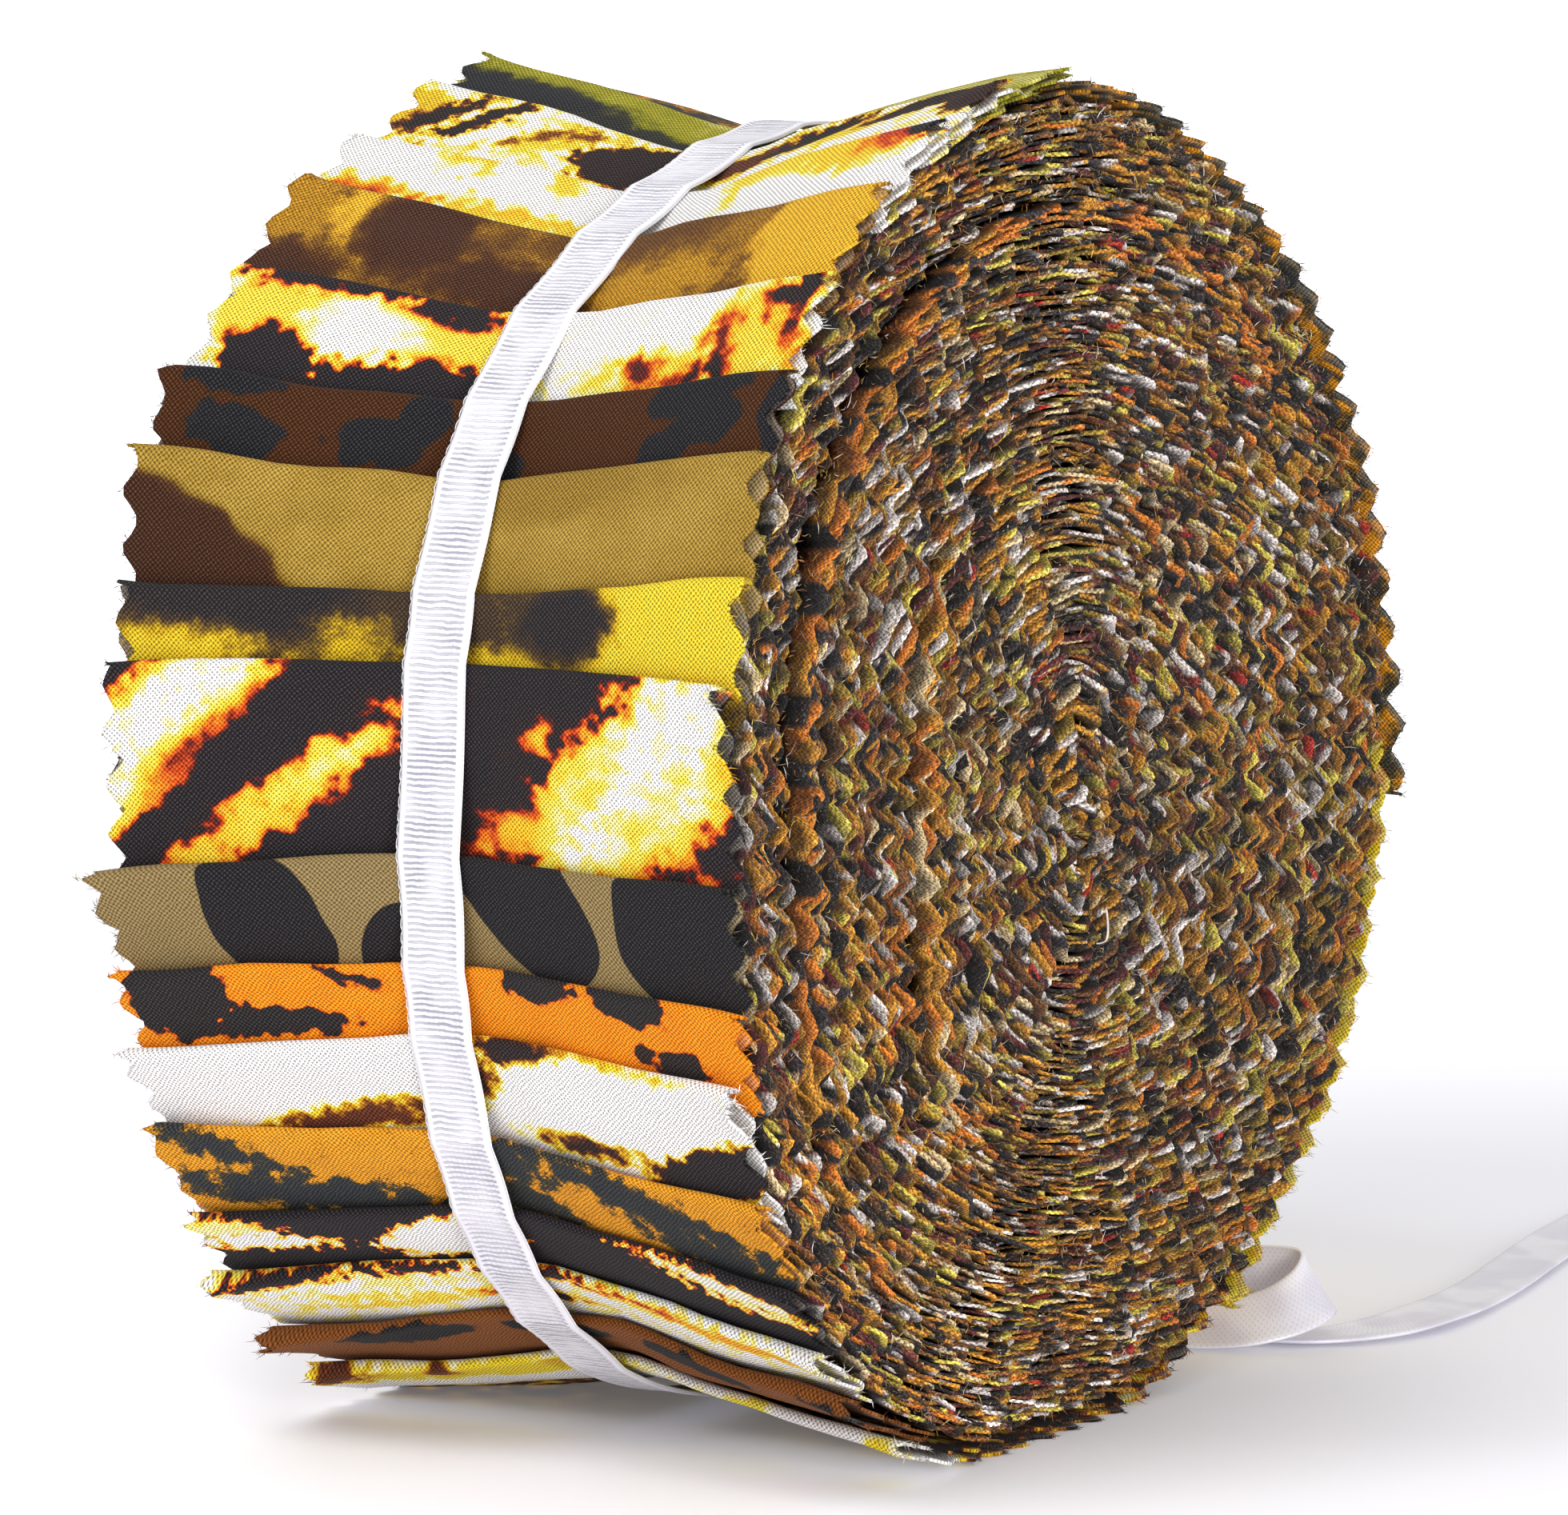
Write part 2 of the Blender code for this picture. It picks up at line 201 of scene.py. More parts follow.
STRIP_ENDS = (
    StripEnd(92, 90, 0, 0, 0.6, 0, 0),
    StripEnd(102, 98.5, 0, 0.2, 0.6, 0.3, 0),
    StripEnd(113, 110, 0, 0.2, 0.6, 0, 0.8),
    StripEnd(122.5, 119.5, 0, 0, 1.2, 0, 0.5),
    StripEnd(133.5, 132, 0, 0.2, 0.2, 0, -0.8),
    StripEnd(142.5, 144, 0, 0, 1, 0, 0.8),
    StripEnd(149.5, 151.5, 0, 0.4, 1.4, 0, 1),
    StripEnd(159.5, 162.5, 0, 0.2, 0.5, 0, 0),
    StripEnd(168, 169.5, -1.5, 1.4, 0.8, -0.8, 0),
    StripEnd(184.5, 186.5, -1.5, 0.4, 2.4, 0, 1),
    StripEnd(194.5, 194.5, -0.6, 0.4, 0.8, 0, 0.2),
    StripEnd(200.5, 201.5, -0.8, 1.5, 1.2, -0.8, 0.8),
    StripEnd(210.5, 208.5, 0.5, 0.4, 1, 0, 0),
    StripEnd(218.5, 218, -0.8, 0.4, 1.4, 0, -0.6),
    StripEnd(225.5, 225, -1, 1.2, 2.2, 0, 1),
    StripEnd(232, 233.5, -0.6, 1.4, 2.4, 0, 0),
    StripEnd(241, 242, -0.5, 0.6, 1.4, 0, 0.4),
    StripEnd(300, 301, 0, 0.4, 0.6, 0, 0.4),
    StripEnd(352, 353.5, 0, 0.8, 0.6, 0.9, 0),
)


@dataclass
class RollShape:
    """The roll's driving sizes, and the heights and angles at which its cloth lies."""

    width: float = 63.5
    axis_x: float = -0.9
    axis_height: float = 59.5
    slab: float = 1.0
    gap: float = 0.3
    ramp_length: float = 14.0
    hidden_phase: float = 0.3
    lowest_level: float = 0.35
    face_stack: float = 2.4
    mean_radius: float = 60.5
    floor_drop: float = 0.5
    lift_power: float = 1.5
    corner_reach: float = 0.75
    waist_depth: float = 4.0
    waist_extra: float = 1.8
    waist_angle: float = 100.0
    waist_flat: float = 4.0
    waist_power: float = 1.3
    tooth_pitch: float = 4.5
    tooth_depth: float = 1.9
    eye_stretch: float = 0.4
    eye_angle: float = 95.0
    eye_x: float = 1.5
    eye_z: float = -6.5
    table_step: float = 0.25
    near_table: Array = field(init=False)
    far_table: Array = field(init=False)

    def __post_init__(self) -> None:
        """Tabulate both rims' outlines once."""
        self.near_table, self.far_table = self.closed_curve(Face.NEAR), self.closed_curve(Face.FAR)

    @property
    def step(self) -> float:
        """Return the height by which one strip lies above the next."""
        return self.slab + self.gap

    @property
    def fold_top(self) -> float:
        """Return the height of a strip's upper side at its fold edge."""
        return self.gap + self.slab + self.step * (1.0 + self.lowest_level)

    @property
    def floor_stack(self) -> float:
        """Return the height of the strips' lowest stack, which lies on the floor."""
        return self.gap + self.slab + self.lowest_level * self.step

    def closed_curve(self, face: Face) -> Array:
        """Return one rim's radius at every table step of a full turn.

        Args:
            face: The face that it bounds.

        Returns:
            The radii along a smooth closed curve.
        """
        angle = np.array([key.angle for key in OUTLINE], float)
        value = np.array([key.near if face is Face.NEAR else key.far for key in OUTLINE], float)
        after = (np.roll(angle, -1) - angle) % 360.0
        slope = (np.roll(value, -1) - np.roll(value, 1)) / (after + np.roll(after, 1))
        at = np.arange(0.0, 360.0, self.table_step)
        index = np.searchsorted(angle, at, side="right") - 1
        following = (index + 1) % len(OUTLINE)
        span = after[index]
        return hermite(value[index], value[following], slope[index], slope[following], span,
                       (at - angle[index]) / span)

    def rim(self, angle: Array, table: Array) -> Array:
        """Return a rim's radius at any angle, from its table."""
        return np.interp(angle, np.arange(0.0, 360.0, self.table_step), table, period=360.0)

    def waist(self, angle: Array, y: Array) -> Array:
        """Return the depth to which the ribbon draws the roll in.

        Args:
            angle: Angles in degrees.
            y: Places along the axis.

        Returns:
            The depths.
        """
        half = self.width / 2
        reach = held((np.abs(y) - self.waist_flat) / (half - self.waist_flat))
        bite = 0.5 + 0.5 * np.cos(np.radians(angle - self.waist_angle))
        return (self.waist_depth + self.waist_extra * bite ** 4) * (1.0 - reach) ** self.waist_power

    def layer_radius(self, angle: Array, y: Array, height: Array) -> Array:
        """Return the radius at a height above the wound roll, level where it meets the floor.

        Args:
            angle: Angles in degrees.
            y: Places along the axis.
            height: Heights above the wound roll.

        Returns:
            The radii.
        """
        across = held(y / self.width + 0.5)
        near, far = self.rim(angle, self.near_table), self.rim(angle, self.far_table)
        radius = near + (far - near) * across - self.face_stack - self.waist(angle, y) + height
        drop = -np.sin(np.radians(angle))
        level = (self.axis_height - self.floor_stack + height) / np.maximum(drop, self.floor_drop)
        return np.where(drop > self.floor_drop, np.minimum(radius, level), radius)

    def around(self, angle: Array, radius: Array, y: Array) -> Array:
        """Return the points at polar places round the roll's axis, in metres.

        Args:
            angle: Angles in degrees.
            radius: Radii.
            y: Places along the axis.

        Returns:
            One row of x, y and z for each place.
        """
        turn = np.radians(angle)
        x = self.axis_x + radius * np.cos(turn)
        z = self.axis_height + radius * np.sin(turn)
        return np.stack(np.broadcast_arrays(x, y, z), axis=-1) * MM

    def fold_angle(self, index: int, y: Array) -> Array:
        """Return the angle of a strip's fold edge, counted on past the full turn.

        Args:
            index: The strip's number from 0.
            y: Places along the axis.

        Returns:
            The angles.
        """
        turn, place = divmod(index, len(STRIP_ENDS))
        end = STRIP_ENDS[place]
        across = y / self.width + 0.5
        bow = end.bow * (1.0 - (2.0 * across - 1.0) ** 2)
        return end.near + (end.far - end.near) * across + bow + 360.0 * turn

    def ramp_angle(self, index: int, y: Array) -> Array:
        """Return the angle over which a strip comes down from its fold edge."""
        pitch = self.fold_angle(index + 1, y) - self.fold_angle(index, y)
        return np.minimum(pitch, math.degrees(self.ramp_length / self.mean_radius))

    def phase(self, index: int, angle: Array, y: Array) -> Array:
        """Return the progress down a strip: 0 at its fold edge, 1 where the next one covers it.

        Args:
            index: The strip's number from 0.
            angle: Angles in degrees.
            y: Places along the axis.

        Returns:
            The progress.
        """
        down = (angle - self.fold_angle(index, y)) / self.ramp_angle(index, y)
        under = (angle - self.fold_angle(index + 1, y)) / self.ramp_angle(index + 1, y)
        return held(down) + np.maximum(0.0, under)

    def corner_lift(self, end: StripEnd, phase: Array, across: Array) -> Array:
        """Return the height of a strip's curled corners.

        Args:
            end: The strip's end.
            phase: Progress down the strip.
            across: Place across it, from -1 at -Y to 1 at +Y.

        Returns:
            The heights.
        """
        free = np.maximum(0.0, 1.0 - phase) ** self.lift_power
        near = end.near_lift * np.maximum(0.0, 1.0 - (1.0 + across) / self.corner_reach) ** 2
        far = end.far_lift * np.maximum(0.0, 1.0 - (1.0 - across) / self.corner_reach) ** 2
        return free * (near + far)

    def spacing(self, angle: Array, share: Array) -> Array:
        """Return how much wider than usual the turns of the winding lie apart.

        Args:
            angle: Angles in degrees.
            share: Share of the way from the eye to the rim.

        Returns:
            The ratios.
        """
        turn = np.radians(angle)
        oval = np.cos(2.0 * (turn - math.radians(self.eye_angle))) * (1.0 - share) * (1.0 - 3.0 * share)
        drift = (self.eye_x * np.cos(turn) + self.eye_z * np.sin(turn)) / self.mean_radius
        return 1.0 + self.eye_stretch * oval - drift

    def face_point(self, angle: Array, share: Array, y: Array, outwards: Array) -> Array:
        """Return points on the wound roll, round an eye that is longer than it is wide.

        Args:
            angle: Angles in degrees.
            share: Share of the way from the eye to the rim.
            y: Places along the axis.
            outwards: Distance added to the radius.

        Returns:
            One row of x, y and z in metres for each place.
        """
        stretch = self.eye_stretch * (1.0 - share) ** 2
        oval = 1.0 + stretch * np.cos(np.radians(2.0 * (angle - self.eye_angle)))
        points = self.around(angle, oval * share * self.layer_radius(angle, y, 0.0) + outwards, y)
        eye = np.array([self.eye_x, 0.0, self.eye_z]) * MM
        return points + (1.0 - np.asarray(share))[..., None] * eye


def grid_data(name: str, columns: int, rows: int, place: Place, cloth: Place,
              skip: Callable[[float], bool] | None = None) -> Mesh:
    """Return a grid mesh whose vertices are moved to where a formula puts them.

    Args:
        name: The mesh's name.
        columns: Faces along the grid.
        rows: Faces across it.
        place: Gives points in metres from arrays of columns and rows.
        cloth: Gives cloth coordinates in millimetres from the same arrays.
        skip: Says of a face's column whether the face is left out.

    Returns:
        The mesh, with its cloth coordinates in the UV map.
    """
    mesh = bmesh.new()
    bmesh.ops.create_grid(mesh, x_segments=columns, y_segments=rows, size=1.0)
    if skip is not None:
        gaps = [f for f in mesh.faces if skip(math.floor((f.calc_center_median().x + 1.0) / 2.0 * columns))]
        bmesh.ops.delete(mesh, geom=gaps, context="FACES")
    data = bpy.data.meshes.new(name)
    mesh.to_mesh(data)
    mesh.free()
    flat = np.empty(len(data.vertices) * 3, np.float32)
    data.vertices.foreach_get("co", flat)
    flat = flat.reshape(-1, 3).astype(float)
    column, row = np.rint((flat[:, 0] + 1.0) / 2.0 * columns), np.rint((flat[:, 1] + 1.0) / 2.0 * rows)
    data.vertices.foreach_set("co", place(column, row).astype(np.float32).ravel())
    corner = np.empty(len(data.loops), np.int32)
    data.loops.foreach_get("vertex_index", corner)
    uv = data.uv_layers.new(name=CLOTH_MAP)
    uv.data.foreach_set("uv", cloth(column[corner], row[corner]).astype(np.float32).ravel())
    return data


def close_seams(data: Mesh, distance: float = 1e-7) -> None:
    """Merge a mesh's doubled vertices and turn its faces outwards.

    Args:
        data: The mesh.
        distance: Distance in metres within which vertices are merged.
    """
    mesh = bmesh.new()
    mesh.from_mesh(data)
    bmesh.ops.remove_doubles(mesh, verts=mesh.verts, dist=distance)
    mesh.normal_update()
    bmesh.ops.recalc_face_normals(mesh, faces=mesh.faces)
    mesh.to_mesh(data)
    mesh.free()


def add_piece(name: str, data: Mesh, materials: Sequence[Material],
              replaces: Sequence[str] = ()) -> bpy.types.Object:
    """Make a smooth piece that rides on the roll.

    Args:
        name: The piece's name.
        data: Its mesh.
        materials: Its materials, in the order of their slots.
        replaces: The CAD nodes that it stands for.

    Returns:
        The piece.
    """
    for material in materials:
        data.materials.append(material)
    data.shade_smooth()
    piece = bpy.data.objects.new(name, data)
    bpy.context.scene.collection.objects.link(piece)
    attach(piece, BODY)
    if replaces:
        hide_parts(*replaces)
    log.info("%s: %d faces", name, len(data.polygons))
    return piece


def thicken(piece: bpy.types.Object, thickness: float) -> bpy.types.Modifier:
    """Give a cloth its thickness, half of it on each side.

    Args:
        piece: The piece.
        thickness: The thickness in millimetres.

    Returns:
        The modifier.
    """
    solid = piece.modifiers.new("thickness", "SOLIDIFY")
    solid.thickness = thickness * MM
    solid.offset = 0.0
    return solid


def set_tint(data: Mesh, colours: Array) -> None:
    """Give each vertex of a mesh its tint.

    Args:
        data: The mesh.
        colours: A linear colour for each vertex.
    """
    full = np.ones((len(data.vertices), 4), np.float32)
    full[:, :3] = colours
    data.attributes.new("tint", "FLOAT_COLOR", "POINT").data.foreach_set("color", full.ravel())


def towards(azimuth: float, elevation: float) -> Vector:
    """Return the direction from the roll at an azimuth and an elevation in degrees."""
    a, e = math.radians(azimuth), math.radians(elevation)
    return Vector((math.sin(a) * math.cos(e), -math.cos(a) * math.cos(e), math.sin(e)))


class Graph:
    """Adds and links the nodes of one tree."""

    def __init__(self, tree: bpy.types.NodeTree) -> None:
        """Keep the tree."""
        self.tree = tree

    def add(self, kind: str, **settings: object) -> Node:
        """Add a node.

        Args:
            kind: The node's type.
            settings: Its settings.

        Returns:
            The node.
        """
        node = self.tree.nodes.new(kind)
        for key, value in settings.items():
            setattr(node, key, value)
        return node

    def feed(self, socket: Socket, value: object) -> None:
        """Link a socket into another one, or set its value.

        Args:
            socket: The input.
            value: An output to link, or a constant.
        """
        if isinstance(value, Socket):
            self.tree.links.new(value, socket)
        else:
            socket.default_value = value

    def math(self, operation: str, *values: object) -> Socket:
        """Return the result of a Math node.

        Args:
            operation: The node's operation.
            values: Its inputs.

        Returns:
            The output.
        """
        node = self.add("ShaderNodeMath", operation=operation)
        for socket, value in zip(node.inputs, values):
            self.feed(socket, value)
        return node.outputs[0]

    def plus(self, first: object, second: object) -> Socket:
        """Return the sum of two numbers."""
        return self.math("ADD", first, second)

    def minus(self, first: object, second: object) -> Socket:
        """Return the difference of two numbers."""
        return self.math("SUBTRACT", first, second)

    def times(self, first: object, second: object) -> Socket:
        """Return the product of two numbers."""
        return self.math("MULTIPLY", first, second)

    def wave(self, place: object, pitch: float) -> Socket:
        """Return a sine along a coordinate, with one wave for each pitch."""
        return self.math("SINE", self.times(place, 2.0 * math.pi / pitch))

    def vector(self, operation: str, *values: object) -> Socket:
        """Return the result of a Vector Math node.

        Args:
            operation: The node's operation.
            values: Its inputs; SCALE takes its factor second.

        Returns:
            The output.
        """
        node = self.add("ShaderNodeVectorMath", operation=operation)
        self.feed(node.inputs[0], values[0])
        if operation == "SCALE":
            self.feed(node.inputs["Scale"], values[1])
        elif len(values) > 1:
            self.feed(node.inputs[1], values[1])
        return node.outputs["Value" if operation == "LENGTH" else "Vector"]

    def mix(self, factor: object, first: object, second: object, blend: str = "MIX") -> Socket:
        """Return a mix of two colours.

        Args:
            factor: Share of the second one.
            first: The first colour.
            second: The second colour.
            blend: How they are blended.

        Returns:
            The output.
        """
        node = self.add("ShaderNodeMix", data_type="RGBA", blend_type=blend)
        for socket, value in zip((node.inputs[0], node.inputs[6], node.inputs[7]), (factor, first, second)):
            self.feed(socket, value)
        return node.outputs[2]

    def shade(self, colour: object, amount: object) -> Socket:
        """Return a colour times a number."""
        return self.mix(1.0, colour, self.join(amount, amount, amount), "MULTIPLY")

    def blend(self, factor: object, first: object, second: object) -> Socket:
        """Return a mix of two numbers.

        Args:
            factor: Share of the second one.
            first: The first number.
            second: The second number.

        Returns:
            The output.
        """
        node = self.add("ShaderNodeMix", data_type="FLOAT")
        for socket, value in zip((node.inputs[0], node.inputs[2], node.inputs[3]), (factor, first, second)):
            self.feed(socket, value)
        return node.outputs[0]

    def remap(self, value: object, low: object, high: object, to_low: float = 0.0, to_high: float = 1.0,
              ease: Ease = Ease.LINEAR) -> Socket:
        """Return a number moved from one range to another.

        Args:
            value: The number.
            low: Start of its range.
            high: End of its range.
            to_low: Start of the new range.
            to_high: End of the new range.
            ease: How it moves between the ends.

        Returns:
            The output.
        """
        node = self.add("ShaderNodeMapRange", interpolation_type=ease.value)
        for socket, number in zip(node.inputs, (value, low, high, to_low, to_high)):
            self.feed(socket, number)
        return node.outputs[0]

    def noise(self, place: object, scale: float, detail: float = 2.0, roughness: float = 0.55,
              distortion: float = 0.0) -> Socket:
        """Return a noise from about 0.2 to 0.8.

        Args:
            place: The coordinates.
            scale: Cells for each unit of them.
            detail: Octaves.
            roughness: How strong the finer ones are.
            distortion: How far it is warped.

        Returns:
            The output.
        """
        node = self.add("ShaderNodeTexNoise")
        self.feed(node.inputs["Vector"], place)
        node.inputs["Scale"].default_value = scale
        node.inputs["Detail"].default_value = detail
        node.inputs["Roughness"].default_value = roughness
        node.inputs["Distortion"].default_value = distortion
        return node.outputs[0]

    def ramp(self, factor: object, stops: Sequence[tuple[float, Colour]]) -> Socket:
        """Return a colour read from a ramp.

        Args:
            factor: Where it is read.
            stops: Places and colours, in order.

        Returns:
            The output.
        """
        node = self.add("ShaderNodeValToRGB")
        elements = node.color_ramp.elements
        elements.remove(elements[1])
        elements[0].position = stops[0][0]
        elements[0].color = (*stops[0][1], 1.0)
        for position, colour in stops[1:]:
            elements.new(position).color = (*colour, 1.0)
        self.feed(node.inputs[0], factor)
        return node.outputs[0]

    def parts(self, place: object) -> bpy.types.NodeSocketStandard:
        """Return the outputs that hold a vector's coordinates.

        Args:
            place: The vector.

        Returns:
            Its three coordinates.
        """
        node = self.add("ShaderNodeSeparateXYZ")
        self.feed(node.inputs[0], place)
        return node.outputs

    def join(self, x: object, y: object, z: object = 0.0) -> Socket:
        """Return the vector of three coordinates.

        Args:
            x: The first one.
            y: The second one.
            z: The third one.

        Returns:
            The output.
        """
        node = self.add("ShaderNodeCombineXYZ")
        for socket, value in zip(node.inputs, (x, y, z)):
            self.feed(socket, value)
        return node.outputs[0]

    def cloth(self) -> Socket:
        """Return the cloth's own coordinates."""
        return self.add("ShaderNodeUVMap", uv_map=CLOTH_MAP).outputs[0]

    def attribute(self, name: str) -> Node:
        """Return the node that reads an attribute of the mesh."""
        return self.add("ShaderNodeAttribute", attribute_name=name)

    def use(self, tree: bpy.types.NodeTree, **values: object) -> Node:
        """Place a node group.

        Args:
            tree: The group.
            values: Its inputs, with spaces written as underscores.

        Returns:
            The group's node.
        """
        node = self.add("ShaderNodeGroup", node_tree=tree)
        for key, value in values.items():
            self.feed(node.inputs[key.replace("_", " ")], value)
        return node


class SocketKind(Enum):
    """Kinds of socket that the groups have."""

    NUMBER = "NodeSocketFloat"
    VECTOR = "NodeSocketVector"
    COLOUR = "NodeSocketColor"


def new_group(name: str, inputs: Sequence[tuple[str, SocketKind]],
              outputs: Sequence[tuple[str, SocketKind]]) -> tuple[Graph, Node, Node]:
    """Make a node group.

    Args:
        name: Its name.
        inputs: Names and kinds of its inputs.
        outputs: Names and kinds of its outputs.

    Returns:
        Its graph, its input node and its output node.
    """
    tree = bpy.data.node_groups.new(name, "ShaderNodeTree")
    for way, sockets in (("INPUT", inputs), ("OUTPUT", outputs)):
        for title, kind in sockets:
            tree.interface.new_socket(name=title, in_out=way, socket_type=kind.value)
    graph = Graph(tree)
    return graph, graph.add("NodeGroupInput"), graph.add("NodeGroupOutput")


class ClothNodes:
    """The node groups that several finishes share."""

    def __init__(self) -> None:
        """Build every group once."""
        self.patch = self.patch_group()
        self.weave = self.weave_group()

    @staticmethod
    def patch_group() -> bpy.types.NodeTree:
        """Return the group that paints one ragged oval patch into a print's field."""
        number, vector = SocketKind.NUMBER, SocketKind.VECTOR
        graph, given, out = new_group(
            "print_patch",
            (("Place", vector), ("Field", number), ("Level", number), ("Centre", vector), ("Half", vector),
             ("Turn", number), ("Soft", number), ("Ragged", number)),
            (("Field", number),))
        offset = graph.vector("SUBTRACT", given.outputs["Place"], given.outputs["Centre"])
        turned = graph.add("ShaderNodeVectorRotate", rotation_type="Z_AXIS")
        graph.feed(turned.inputs["Vector"], offset)
        graph.feed(turned.inputs["Angle"], graph.times(given.outputs["Turn"], -1.0))
        share = graph.vector("LENGTH", graph.vector("DIVIDE", turned.outputs[0], given.outputs["Half"]))
        half = graph.parts(given.outputs["Half"])
        inside = graph.times(graph.minus(1.0, share), graph.math("MINIMUM", half[0], half[1]))
        inside = graph.plus(inside, given.outputs["Ragged"])
        soft = graph.times(given.outputs["Soft"], 0.5)
        cover = graph.remap(inside, graph.times(soft, -1.0), soft, ease=Ease.SMOOTH)
        graph.feed(out.inputs[0], graph.blend(cover, given.outputs["Field"], given.outputs["Level"]))
        return graph.tree

    @staticmethod
    def weave_group() -> bpy.types.NodeTree:
        """Return the group that gives a printed cotton its threads, with painted shade and painted
        highlights on them.
        """
        graph, given, out = new_group(
            "cotton_weave",
            (("Place", SocketKind.VECTOR), ("Colour", SocketKind.COLOUR), ("Pitch", SocketKind.NUMBER)),
            (("Colour", SocketKind.COLOUR), ("Height", SocketKind.NUMBER)))
        place = given.outputs["Place"]
        wander = graph.times(graph.minus(graph.noise(place, 0.8), 0.5), 0.35)
        x, y, _ = graph.parts(place)
        turns = graph.math("DIVIDE", 2.0 * math.pi, given.outputs["Pitch"])
        warp = graph.math("SINE", graph.times(graph.plus(x, wander), turns))
        weft = graph.math("SINE", graph.times(graph.plus(y, wander), turns))
        lattice = graph.times(warp, weft)
        fluff = graph.noise(place, 7.0, 3.0, 0.7)
        height = graph.plus(graph.times(lattice, 0.38), fluff)
        shade = graph.remap(height, 0.15, 0.85, 0.27, 1.6)
        shaded = graph.shade(given.outputs["Colour"], shade)
        # Painted highlight: the tops of the threads are mixed towards a pale beige.
        painted_glint = graph.remap(height, 0.62, 0.98, 0.0, 0.19)
        graph.feed(out.inputs["Colour"], graph.mix(painted_glint, shaded, opaque(160, 146, 128)))
        graph.feed(out.inputs["Height"], height)
        return graph.tree


def new_material(name: str) -> tuple[Material, Graph, Node]:
    """Make a material.

    Args:
        name: Its name.

    Returns:
        The material, its graph and its Principled BSDF.
    """
    material = bpy.data.materials.new(name)
    material.use_nodes = True
    return material, Graph(material.node_tree), material.node_tree.nodes["Principled BSDF"]


def set_shader(shader: Node, roughness: float, sheen: float, specular: float = 0.3) -> None:
    """Set a cloth's constants on its shader.

    Args:
        shader: The Principled BSDF.
        roughness: Its roughness.
        sheen: Its sheen weight.
        specular: Its specular level.
    """
    shader.inputs["Roughness"].default_value = roughness
    shader.inputs["Sheen Weight"].default_value = sheen
    shader.inputs["Sheen Roughness"].default_value = 0.5
    shader.inputs["Specular IOR Level"].default_value = specular


def add_bump(graph: Graph, shader: Node, height: Socket, strength: float, depth: float) -> None:
    """Give a shader a bump.

    Args:
        graph: The material's graph.
        shader: The Principled BSDF.
        height: The bump's height.
        strength: Its strength.
        depth: Its depth in millimetres.
    """
    bump = graph.add("ShaderNodeBump")
    bump.inputs["Strength"].default_value = strength
    bump.inputs["Distance"].default_value = depth * MM
    graph.feed(bump.inputs["Height"], height)
    graph.feed(shader.inputs["Normal"], bump.outputs[0])


def stops(*values: tuple[float, int, int, int]) -> tuple[tuple[float, Colour], ...]:
    """Return a ramp's places and linear colours, from places and screen colours."""
    return tuple((place, srgb(*colour)) for place, *colour in values)


BURNT = stops(
    (0.0, 35, 32, 37), (0.26, 42, 32, 34), (0.32, 120, 28, 14), (0.38, 218, 78, 16), (0.45, 240, 146, 22),
    (0.54, 242, 192, 40), (0.66, 238, 218, 76), (0.78, 240, 232, 170), (0.88, 236, 233, 232))
SINGED = stops(
    (0.0, 35, 32, 37), (0.24, 46, 30, 28), (0.36, 116, 54, 18), (0.47, 208, 146, 22),
    (0.64, 240, 216, 44), (0.78, 246, 240, 196), (0.90, 238, 235, 234))
GOLD = stops(
    (0.0, 60, 32, 24), (0.35, 86, 50, 20), (0.55, 126, 84, 22), (0.75, 186, 134, 24), (1.0, 228, 176, 40))
BROWN = stops(
    (0.0, 27, 28, 33), (0.42, 34, 32, 35), (0.55, 58, 29, 7), (1.0, 68, 34, 7))
RUSSET = stops(
    (0.0, 27, 28, 33), (0.42, 38, 33, 34), (0.55, 100, 54, 18), (1.0, 124, 70, 24))
KHAKI = stops(
    (0.0, 31, 30, 34), (0.46, 36, 33, 35), (0.54, 124, 104, 62), (1.0, 142, 120, 77))
ORANGE = stops(
    (0.0, 38, 36, 38), (0.38, 52, 34, 32), (0.48, 190, 74, 12), (0.60, 234, 122, 8), (1.0, 244, 144, 14))
OCHRE = stops(
    (0.0, 60, 32, 16), (0.32, 80, 48, 22), (0.5, 126, 96, 26), (0.8, 160, 128, 48), (1.0, 176, 144, 64))
SUNNY = stops(
    (0.0, 36, 34, 38), (0.30, 66, 50, 34), (0.50, 134, 104, 24), (0.72, 208, 170, 20), (1.0, 226, 198, 46))
OLIVE = stops(
    (0.0, 34, 36, 42), (0.30, 54, 54, 38), (0.58, 126, 124, 18), (0.82, 164, 156, 36),
    (1.0, 220, 214, 140))
TIGER = stops(
    (0.0, 42, 46, 52), (0.36, 56, 56, 46), (0.50, 118, 86, 32), (0.66, 212, 140, 24), (1.0, 226, 152, 32))
LEMON = stops(
    (0.0, 60, 44, 26), (0.25, 150, 84, 20), (0.42, 208, 126, 22), (0.6, 214, 184, 36), (1.0, 228, 212, 84))


@dataclass(frozen=True)
class Patch:
    """One ragged oval of a print, in millimetres across from the far rim and down from the fold."""

    across: float
    down: float
    half_across: float
    half_down: float
    level: float
    turn: float = 0.0


@dataclass(frozen=True)
class Print:
    """A printed cotton: a field of levels that a ramp turns into colours.

    ground is the field's level, soft the width of the patches' edges, ragged how far the edges
    wander, cell the size of those wanderings, broad how much the field varies by itself over
    broad_cell, speck how much it varies from thread to thread, detail how fine the wanderings go,
    and mottle how far pale areas are stained.
    """

    name: str
    ramp: tuple[tuple[float, Colour], ...]
    ground: float
    patches: tuple[Patch, ...]
    soft: float = 1.0
    ragged: float = 1.0
    cell: float = 2.2
    broad: float = 0.0
    broad_cell: float = 9.0
    speck: float = 0.05
    detail: float = 2.5
    mottle: float = 0.0


